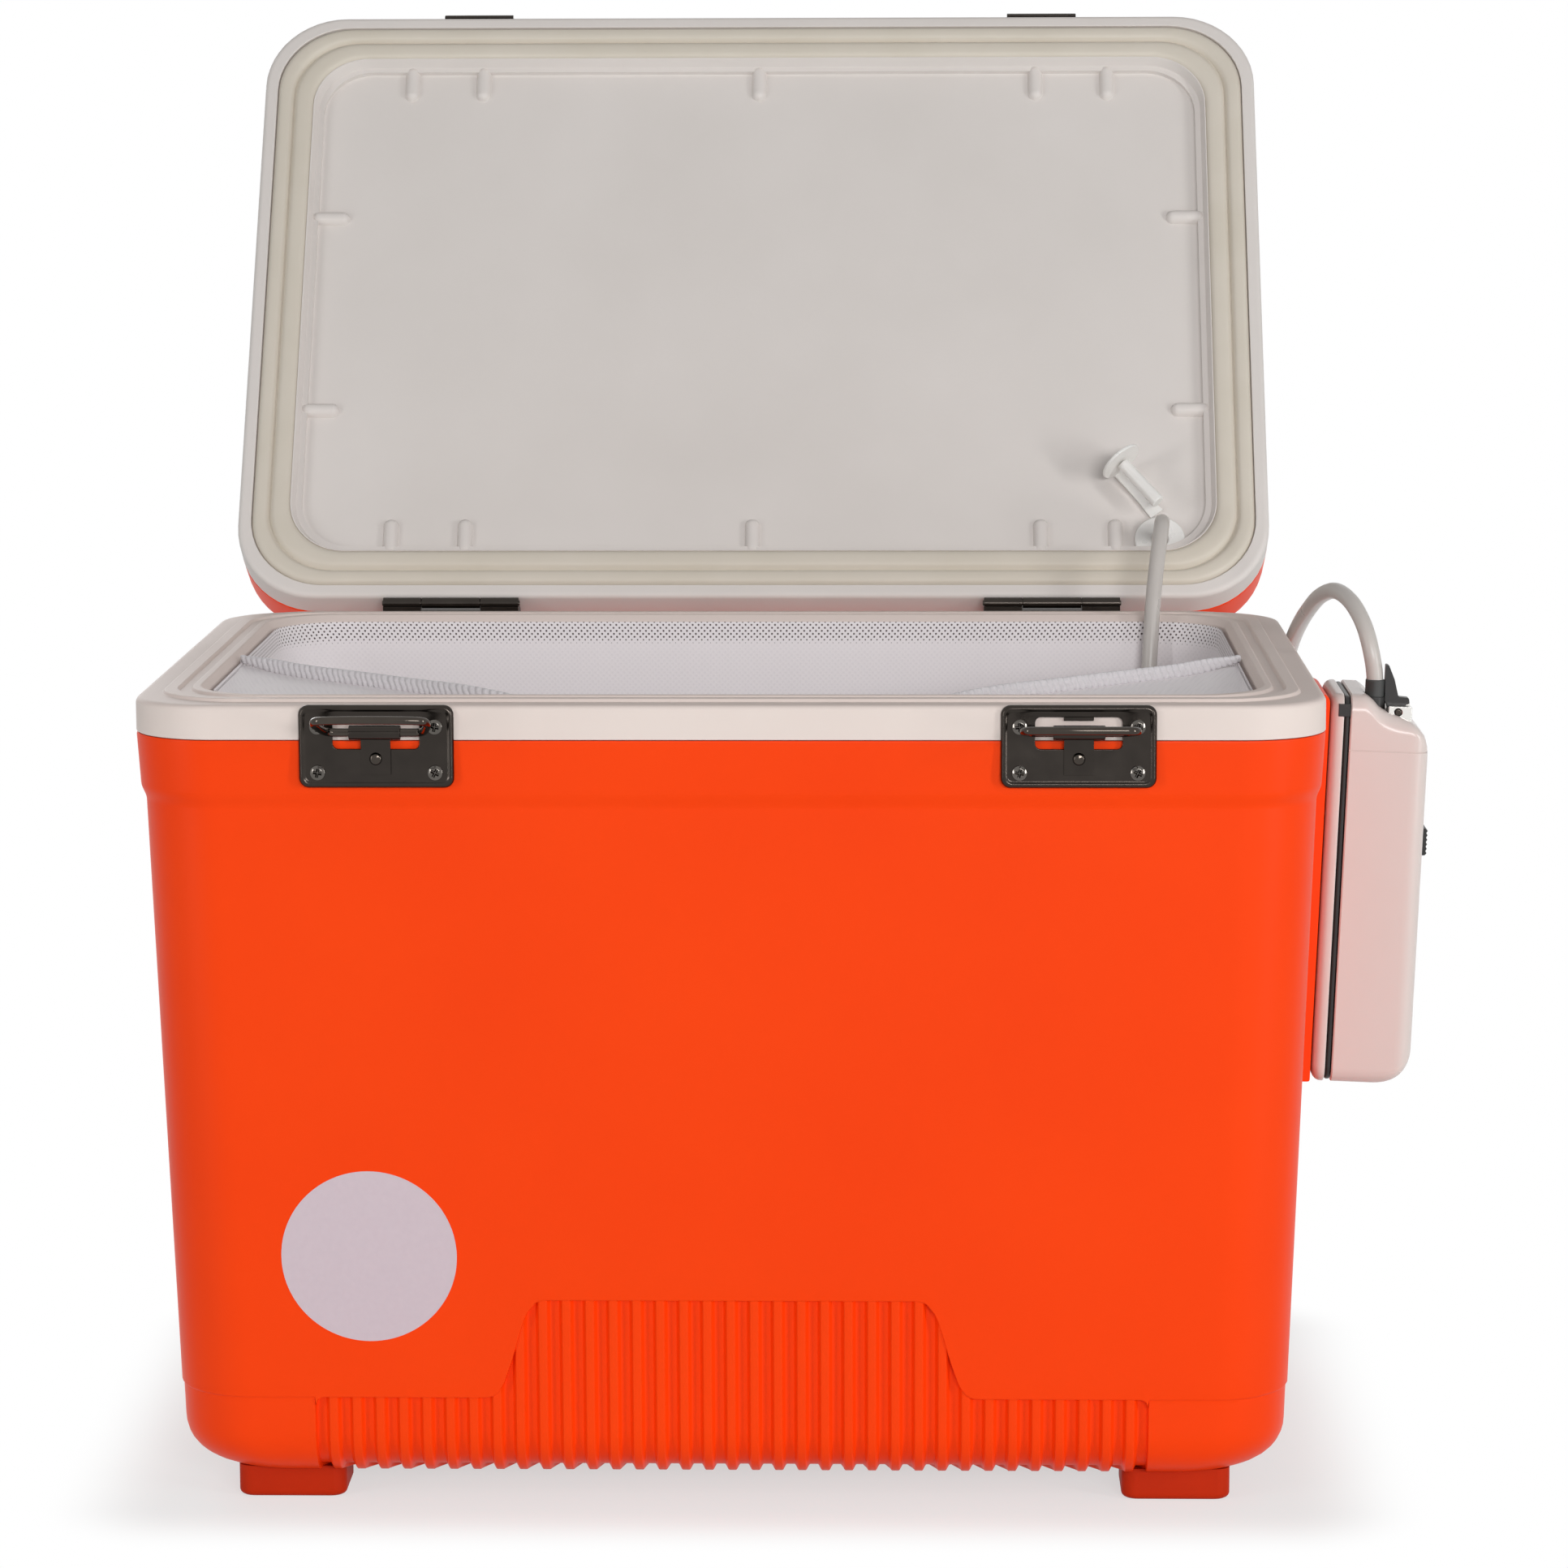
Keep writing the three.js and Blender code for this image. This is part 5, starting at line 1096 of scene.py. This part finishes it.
def pumpCase():
    start, end, wall = pump["caseFrom"], pump["caseTo"], pump["wall"]
    rings = [[Vector((start, p.y * 0.985, lerp(75, p.z, 0.994))) for p in caseRing(start)]]
    outer = loft(rings + [caseRing(x) for x in (start + 0.5, *caseSlices, end)])
    cavity = caseCore((start - 5, 20, 28, 32, 34, end - wall - 0.1), wall, 0, 122)
    doorway = block(end - 2 * wall, end + 5, -door["half"] - 0.3, door["half"] + 0.3,
                    door["low"] - door["barrel"] - 0.3, door["high"] + 0.3)
    knobSlot = block(end - 2 * wall, end + 5, -knob["stem"] - 0.3, knob["stem"] + 0.3,
                     knob["z"] - knob["stemTall"] / 2 - 0.3,
                     knob["z"] + knob["travel"] + knob["stemTall"] / 2 + 0.3)
    seat = block(clevis["fromX"] - 0.3, clevis["toX"] + 0.3, nozzle["y"] - clevis["half"] - 0.3,
                 nozzle["y"] + clevis["half"] + 0.3, clevis["foot"] - 0.3, 150)
    bore = nozzle["base"] + 0.3
    socket = placed(turned([(bore, nozzle["foot"] - 0.3), (bore, 156)], 24), at(nozzle["x"], nozzle["y"], 0))
    # a hairline joint runs round the case below its shoulder
    joint = prism(roundedPlan(60, 60, 1, 1), pump["seam"] - 0.2, pump["seam"] + 0.2, "xy")
    seam = carved(joint, [caseCore((start - 4, 14, 22, 30, 33, 35.5, 37, 37.8), 0.35, 110, 135)])
    return carved(outer, [cavity, doorway, knobSlot, seat, socket, seam])


def plateSlice(x, shrink, corner):
    plan = roundedPlan(pump["half"] - shrink, pump["tall"] / 2 - shrink, corner, 8)
    return ringOf(plan, x, "yz", (0, pump["tall"] / 2))


def pumpBack():
    low, high = pump["backFrom"], pump["backTo"]
    slices = ((low, 4.4), (low + 0.35, 2.7), (low + 1, 1.5), (low + 1.9, 0.6), (low + 3, 0.1), (high - 0.6, 0),
              (high - 0.15, 0.25), (high, 0.7))
    return loft([plateSlice(x, shrink, pump["corner"] - shrink / 2) for x, shrink in slices])


def pumpSeal():
    low, high = pump["sealFrom"], pump["sealTo"]
    slices = ((low, 6), (low, 1), (low + 0.5, 0.75), (high - 0.5, 0.75), (high, 1), (high, 6))
    band = loft([plateSlice(x, shrink, pump["corner"] - shrink) for x, shrink in slices], closed=True)
    tab = block(low - 2.6, high, -pump["half"] - 0.2, -pump["half"] + 3, *pump["tab"])
    return merged([band, tab])


def batteryDoor():
    outer, half, low, high = pump["caseTo"], door["half"], door["low"], door["high"]
    inner = outer - door["thick"]
    leaf = prism([(inner, low), (inner, high), (outer, high), (outer, low)], -half, half, "xz")
    roll = turned([(door["barrel"], -half), (door["barrel"], half)], 20)
    grips = [block(outer - 0.2, outer + 0.25, -door["gripHalf"], door["gripHalf"], z, z + 0.9)
             for z in door["grips"]]
    return merged([leaf, placed(roll, at(outer - door["barrel"], 0, low) @ about("X", pi / 2))] + grips)


def switchKnob():
    face, low = pump["caseTo"] + 0.3, knob["z"] - knob["tall"] / 2
    high, front = low + knob["tall"], face + knob["proud"]
    ridges = [(front - (0.55 if i % 2 else 0), low + 0.9 + i * (knob["tall"] - 1.8) / 10) for i in range(11)]
    outline = [(face, low), (front - 0.8, low)] + ridges + [(front - 0.8, high), (face, high)]
    stem = block(pump["caseTo"] - knob["stemLong"], face + 1, -knob["stem"], knob["stem"],
                 knob["z"] - knob["stemTall"] / 2, knob["z"] + knob["stemTall"] / 2)
    return merged([prism(outline, -knob["half"], knob["half"], "xz"), stem])


def addNozzle():
    here = pumpFrame @ at(nozzle["x"], nozzle["y"], 0)
    foot, collar, top, radius = (nozzle[key] for key in ("foot", "collar", "top", "sleeve"))
    wide, neck = nozzle["base"], nozzle["neck"]
    base = spun([(1, foot, 0), (wide, foot, 0), (wide, collar, 0.6), (neck, collar, 0)], 4, 32)
    core, low = neck * 0.5, collar - 0.5
    sleeve = spun([(core, low, 0), (radius, low, 0), (radius, top - 0.2, 0.5), (core, top, 0)], 3, 32)
    addPiece("hose_spigot", base, here, "black", "tub", "hose_nozzle")
    addPiece("hose_sleeve", sleeve, here, "sleeve", "tub", "hose_nozzle")


def clipBore(sides):
    return placed(turned([(clevis["bore"], -9), (clevis["bore"], 9)], sides), pinPlace)


def clipBlock():
    low, high, half, slot = clevis["fromX"], clevis["toX"], clevis["half"], clevis["slot"]
    y = nozzle["y"]
    body = block(low, high, y - half, y + half, clevis["foot"], clevis["top"])
    return carved(body, [block(low - 5, high + 5, y - slot, y + slot, clevis["slotFoot"], 160), clipBore(24)])


def clipLever():
    x, z = clevis["pinX"], clevis["pinZ"]
    corners = [
        (x - 3, z - 1, 1), (21.3, 147.4, 1), (21, 155, 3), (21, 161, 0.5), (22.2, 160.8, 0.7),
        (24.6, 155.4, 5), (26.4, 148.8, 1), (30.4, 148.6, 1), (30.8, 146.2, 0.8), (x + 3, 146, 0.8),
        (x + 3, z - 1, 1.4), (x, z - 3, 1.6),
    ]
    blade = prism(softened(corners, 5, closed=True), nozzle["y"] - 2, nozzle["y"] + 2, "xz")
    return carved(blade, [clipBore(20)])


def addPumpInside():
    middle = (pump["caseFrom"] + pump["caseTo"] - pump["wall"]) / 2
    half = pump["half"] - pump["wall"] - 0.3
    radius, crimp, button = cell["radius"], cell["crimp"], cell["button"]
    for level, name in enumerate(("lower", "upper")):
        low = cell["foot"] + level * cell["pitch"]
        top, cap, buttonTop = low + cell["top"], low + cell["cap"], low + cell["buttonTop"]
        jacket = spun([(1, low, 0), (radius, low, 0.8), (radius, top, 0.8), (crimp, top, 0.5), (crimp, cap, 0),
                       (button, cap, 0), (button, buttonTop, 0.4), (0.5, buttonTop, 0)], 3, 40)
        addPiece(f"cell_{name}", placed(jacket, at(middle, half - radius, 0)), pumpFrame, "jacket", "tub",
                 f"battery_cell_{name}")
    radius, foot, top, y = motor["radius"], motor["foot"], motor["top"], motor["radius"] - half
    can = spun([(1, foot, 0), (radius, foot, 1), (radius, top, 1.2), (2.6, top, 0), (2.6, top + 1, 0.2),
                (1.2, top + 1, 0), (1.2, top + 4, 0), (0.3, top + 4, 0)], 3, 36)
    addPiece("motor_can", placed(can, at(middle, y, 0)), pumpFrame, "bright", "tub", "air_motor")
    wide = motor["headHalf"]
    body = block(middle - wide, middle + wide, y - radius, y + radius, *motor["head"])
    outlet = placed(spun([(2.5, 113, 0), (2.5, 119.3, 0.4), (1, 119.3, 0)], 3, 24), at(middle, y, 0))
    ridges = [block(middle - 9, middle + 9, y - 9.2, y + 9, z, z + 0.8) for z in motor["ridges"]]
    addPiece("diaphragm_block", merged([body, outlet] + ridges), pumpFrame, "black", "tub", "diaphragm_pump",
             bevel=0.5, sharp=50)


def addPump():
    addPiece("pump_outer_case", pumpCase(), pumpFrame, "pump", "tub", "pump_case", sharp=32)
    addPiece("pump_wall_plate", pumpBack(), pumpFrame, "pump", "tub", "pump_back")
    addPiece("pump_joint_seal", pumpSeal(), pumpFrame, "black", "tub", "pump_seal", bevel=0.2, sharp=50)
    addPiece("pump_cell_door", batteryDoor(), pumpFrame, "pump", "battery_door", "battery_door", bevel=0.35,
             sharp=50)
    addPiece("pump_switch", switchKnob(), pumpFrame, "black", "switch", "switch_knob", bevel=0.25, sharp=30)
    addNozzle()
    addPiece("clip_block", clipBlock(), pumpFrame, "bright", "tub", "clip_clevis", bevel=0.3, sharp=50)
    pin = placed(pinOf(clevis["pin"], clevis["pinHalf"], 0.2, 0.3, 24), pinPlace)
    addPiece("clip_axle", pin, pumpFrame, "wire", "tub", "clip_pin")
    addPiece("clip_thumb_lever", clipLever(), pumpFrame, "black", "clip", "clip_lever", bevel=0.6, sharp=50)
    addPumpInside()


addPump()
print("pump made")

# Net that hangs in the well, slung across the front corners, with a gathered elastic hem


def wellInset(z):
    if z >= liner["throatZ"]:
        return lerp(liner["throatInset"], tub["rimWidth"], (z - liner["throatZ"]) / 10)
    share = (liner["throatZ"] - z) / (liner["throatZ"] - liner["floor"])
    return lerp(liner["throatInset"], liner["floorInset"], share)


def slungPoint(x, halfX):
    # the line on which the mouth is slung: straight across the front corners, slack in the middle
    reach = min(abs(x), halfX)
    if reach > net["bendX"]:
        share = (reach - net["bendX"]) / (halfX - net["bendX"])
        rise = eased((share - 0.8) / 0.2) * (net["mouthZ"] - net["slungZ"] - 1.5)
        return Vector((x, lerp(net["bendY"], net["hangY"], share), net["slungZ"] + rise))
    share = (reach / net["bendX"]) ** 2
    return Vector((x, lerp(net["sagY"], net["bendY"], share), lerp(net["sagZ"], net["slungZ"], share)))


def mouthPoint(x, y, halfX, halfY):
    # the top of the cloth above a point of the wall
    reach, corner = abs(x), halfX - tub["innerCorner"]
    if y > net["hangY"] or reach > halfX - 0.3:
        return Vector((x, y, net["mouthZ"]))
    sign = 1 if x > 0 else -1
    if reach > corner:
        # in the corner the cloth comes back along the side wall to the end of the hem
        share = (halfX - reach) / tub["innerCorner"]
        front = tub["innerCorner"] - halfY
        return Vector((sign * (halfX - 0.6), lerp(front, net["hangY"], share), net["mouthZ"] - 1.5))
    if reach > net["bendX"]:
        share = (reach - net["bendX"]) / (corner - net["bendX"])
        return slungPoint(sign * lerp(net["bendX"], halfX, share), halfX)
    return slungPoint(x, halfX)


def densePlan(inset):
    # a ring of the well with points close together on its sides, always the same count
    steps = 6
    plan = roundedPlan(tub["width"] / 2 - inset, tub["depth"] / 2 - inset, tub["innerCorner"], steps)
    points = []
    for i, (a, b) in enumerate(zip(plan, plan[1:] + plan[:1])):
        side, place = divmod(i, steps + 1)
        span = (tub["depth"] if side % 2 else tub["width"]) - 2 * tub["rimWidth"] - 2 * tub["innerCorner"]
        pieces = max(1, round(span / net["spacing"])) if place == steps else 1
        points += [Vector((lerp(a[0], b[0], k / pieces), lerp(a[1], b[1], k / pieces))) for k in range(pieces)]
    return points


def foldDepth(place, height):
    # soft upright folds, deeper towards the slung front corners
    wave = noise.noise(Vector((place / net["foldWidth"], height / 140, 3.1)))
    fine = noise.noise(Vector((place / 9, height / 60, 8.7)))
    return net["foldDepth"] * (0.5 + 0.8 * wave) + 0.25 * fine


def netBag():
    topPlan = densePlan(wellInset(net["mouthZ"]) + net["gap"])
    halfX = max(point.x for point in topPlan)
    halfY = max(point.y for point in topPlan)
    mouth = [mouthPoint(point.x, point.y, halfX, halfY) for point in topPlan]
    around = lengthsAlong(topPlan)
    rows, uvRows = [], []
    bend = net["floorZ"] + liner["floorRound"]
    for row in range(net["wallRows"] + 1):
        share = (row / net["wallRows"]) ** 1.7
        plan = densePlan(wellInset(lerp(net["mouthZ"], bend, share)) + net["gap"])
        ring, uvs = [], []
        for point, top, place in zip(plan, mouth, around):
            x, y, z = point.x, point.y, lerp(top.z, bend, share)
            closed = 0
            if top.y <= net["hangY"] and top.y > y + 0.5:
                # the slung part spreads from the hem out to the wall in its first few millimetres of drop
                pull = (1 - clamp((top.z - z) / net["dive"])) ** 1.6
                spread = clamp((top.y - y) / 100 * 3)
                x, y = lerp(x, top.x, pull), lerp(y, top.y, pull)
                wide = noise.noise(Vector((place / 11, 4.4, 1.7)))
                pleat = wide + 0.5 * noise.noise(Vector((place / 4.5, 9.1, 0)))
                z += net["pleat"] * pleat * 4 * pull * (1 - pull) * spread
                closed = net["open"] + 3
            inward = Vector((-x, -y * 1.4)).normalized() * foldDepth(place, z) * clamp(share * 6)
            ring.append(Vector((x + inward.x, y + inward.y, z)))
            uvs.append((place, net["mouthZ"] - z + closed))
        rows.append(ring)
        uvRows.append(uvs)
    bottom = net["floorZ"] + 2.2
    for step in range(1, 6):
        angle = step / 5 * pi / 2
        z = bend - (bend - bottom) * sin(angle)
        inset = wellInset(bend) + net["gap"] + liner["floorRound"] * (1 - cos(angle))
        rows.append(ringOf(densePlan(inset), z))
        uvRows.append([(place, net["mouthZ"] - z + 4 * step) for place in around])
    edge = rows[-1]
    for share in (0.85, 0.65, 0.4, 0.15, 0.02):
        rows.append([Vector((p.x * share, p.y * share, bottom + 0.5 * noise.noise(p / 30))) for p in edge])
        # on the floor the pattern is read far below the band that shows holes
        uvRows.append([(p.x * share, net["closed"] + p.y * share) for p in edge])
    return rows, uvRows


def addNet():
    rows, uvRows = netBag()
    points, faces = loft(rows)
    del faces[-2]  # the cap over the mouth
    uvOf = [uv for row in uvRows for uv in row]
    bag = addPiece("net_liner", (points, faces), tubFrame, "net", "tub", "net_bag", sharp=180)
    layer = bag.data.uv_layers.new(name="thread")
    girth = lengthsAlong(rows[0])[-1]
    for face in bag.data.polygons:
        spots = [uvOf[bag.data.loops[loop].vertex_index] for loop in face.loop_indices]
        places = [u for u, v in spots]
        wraps = max(places) - min(places) > girth / 2
        for loop, (u, v) in zip(face.loop_indices, spots):
            layer.data[loop].uv = (u + girth if wraps and u < girth / 2 else u, v)
    return bag


hem = {"tall": 2.7, "thick": 0.4, "rib": 0.95, "gather": 3.1, "lift": 2.4, "wallGap": 1.2, "loop": 0.32,
       "swing": 0.8}


def addHem():
    halfX = tub["width"] / 2 - wellInset(net["mouthZ"]) - hem["wallGap"]
    guide = []
    for i in range(17):
        x = lerp(-halfX, halfX, i / 16)
        top = slungPoint(x, halfX)
        guide.append(Vector((x, top.y, top.z + hem["lift"])))
    path = smoothPath(guide, 60)
    along = lengthsAlong(path)

    def reach(i, angle):
        slant = along[i] + 0.8 * cos(angle) + 0.9 * noise.noise(Vector((along[i] / 7, 0, 2)))
        gather = abs(sin(pi * slant / hem["gather"]))
        # the band is bunched where its ends meet the wall
        toEnd = min(along[i], along[-1] - along[i])
        tall = hem["tall"] * lerp(0.55, 1, eased(toEnd / 22)) * (0.97 + 0.06 * gather)
        thick = hem["thick"] + hem["rib"] * gather
        return tall * thick / ((thick * abs(cos(angle))) ** 4 + (tall * abs(sin(angle))) ** 4) ** 0.25

    band = addPiece("net_elastic_hem", tubeAlong(path, reach, 18), tubFrame, "hem", "tub", "net_hem", sharp=60)
    # the hem's lower edge is whipped with a looped thread
    thread = []
    for i in range(0, len(path), 2):
        swing = sin(2 * pi * along[i] / hem["gather"])
        drop = -hem["tall"] + 0.3 - hem["swing"] * abs(swing)
        thread.append(path[i] + Vector((0, -0.7 - 0.4 * swing, drop)))
    loops = addPiece("net_hem_loops", tubeAlong(thread, hem["loop"], 6), tubFrame, "stitch", "tub", sharp=180)
    return [band, loops]


hemPieces = addHem()
netPiece = addNet()
print("net made")

# Studio: pale floor that fades into white, soft lamps

# the floor paint's cyan tint cancels the orange light that the tub bounces onto the floor: a painted counter
# to the bounce
studio = {
    "ambient": 0.27, "floor": 3.0, "shade": 0.6, "fade": 0.06, "foot": (0.2, 0.125, 0), "paint": "#E4F3F3",
    "lamps": {
        "key": {"place": (0.8, -3.0, 0.95), "aim": (0, 0, 0.25), "wide": 1.3, "tall": 0.5, "power": 37},
        "left": {"place": (-1.5, -1.3, 0.5), "aim": (-0.1, 0, 0.25), "wide": 0.18, "tall": 0.95, "power": 7},
        "right": {"place": (1.6, -1.2, 0.5), "aim": (0.2, 0, 0.25), "wide": 0.18, "tall": 0.95, "power": 11},
        "behind": {"place": (-1.2, 2.6, 1.1), "aim": (0, 0, 0.3), "wide": 1.4, "tall": 1.2, "power": 22},
    },
}


def addLamps():
    for name, lamp in studio["lamps"].items():
        light = bpy.data.lights.new(name, "AREA")
        light.shape = "RECTANGLE"
        light.size, light.size_y = lamp["wide"], lamp["tall"]
        light.energy = lamp["power"]
        item = bpy.data.objects.new(name, light)
        item.location = lamp["place"]
        item.rotation_euler = (Vector(lamp["place"]) - Vector(lamp["aim"])).to_track_quat("Z", "Y").to_euler()
        bpy.context.scene.collection.objects.link(item)


def seenShare(tree):
    # 1 for what the camera sees, also in reflections and through clear plastic, and 0 for the light itself
    path = addNode(tree, "LightPath")
    seen = path.outputs["Is Camera Ray"]
    for kind in ("Is Glossy Ray", "Is Transmission Ray"):
        seen = addNode(tree, "Math", {"operation": "MAXIMUM"}, {0: seen, 1: path.outputs[kind]}).outputs[0]
    return seen


def addWorld():
    world = bpy.data.worlds.new("studio")
    world.use_nodes = True
    bpy.context.scene.world = world
    tree = world.node_tree
    tree.nodes.clear()
    soft = addNode(tree, "Background", {"Color": (1, 1, 1, 1), "Strength": studio["ambient"]})
    white = addNode(tree, "Background", {"Color": (1, 1, 1, 1), "Strength": 1})
    mix = addNode(tree, "MixShader", {}, {0: seenShare(tree), 1: soft.outputs[0], 2: white.outputs[0]})
    addNode(tree, "OutputWorld", {}, {"Surface": mix.outputs[0]})


def addFloor():
    material, tree = newMaterial("pale studio floor, painted")
    # how far a spot lies outside the tub's footprint
    away = addNode(tree, "TexCoord").outputs["Object"]
    none = (0, 0, 0)
    for operation, other in (("SUBTRACT", (linerMiddle.x, linerMiddle.y, 0)), ("ABSOLUTE", none),
                             ("SUBTRACT", studio["foot"]), ("MAXIMUM", none)):
        away = addNode(tree, "VectorMath", {"operation": operation, 1: other}, {0: away}).outputs[0]
    away = addNode(tree, "VectorMath", {"operation": "LENGTH"}, {0: away}).outputs["Value"]
    # what the camera and reflections see turns to plain white a hand's width from the tub
    white = addNode(tree, "MapRange", {"interpolation_type": "SMOOTHERSTEP", "From Max": studio["fade"],
                                       "To Min": studio["shade"], "To Max": 1}, {"Value": away})
    share = addNode(tree, "Math", {"operation": "MULTIPLY"}, {0: seenShare(tree), 1: white.outputs[0]})
    # the cyan tint of this paint is a painted counter to the orange bounce light, so the shadow near the tub
    # reads neutral grey
    paint = addNode(tree, "BsdfDiffuse", {"Color": fromHex(studio["paint"])})
    glow = addNode(tree, "Emission", {"Color": (1, 1, 1, 1), "Strength": 1})
    mix = addNode(tree, "MixShader", {}, {0: share.outputs[0], 1: paint.outputs[0], 2: glow.outputs[0]})
    finishMaterial(material, tree, mix)
    half = studio["floor"] / 2
    corners = ringOf([(-half, -half), (half, -half), (half, half), (-half, half)], 0)
    mesh = meshFrom("floor", (corners, [(0, 1, 2, 3)]))
    mesh.materials.append(material)
    floor = bpy.data.objects.new("floor", mesh)
    bpy.context.scene.collection.objects.link(floor)


addLamps()
addWorld()
addFloor()
bpy.context.scene.view_settings.view_transform = "Standard"
print("studio made")
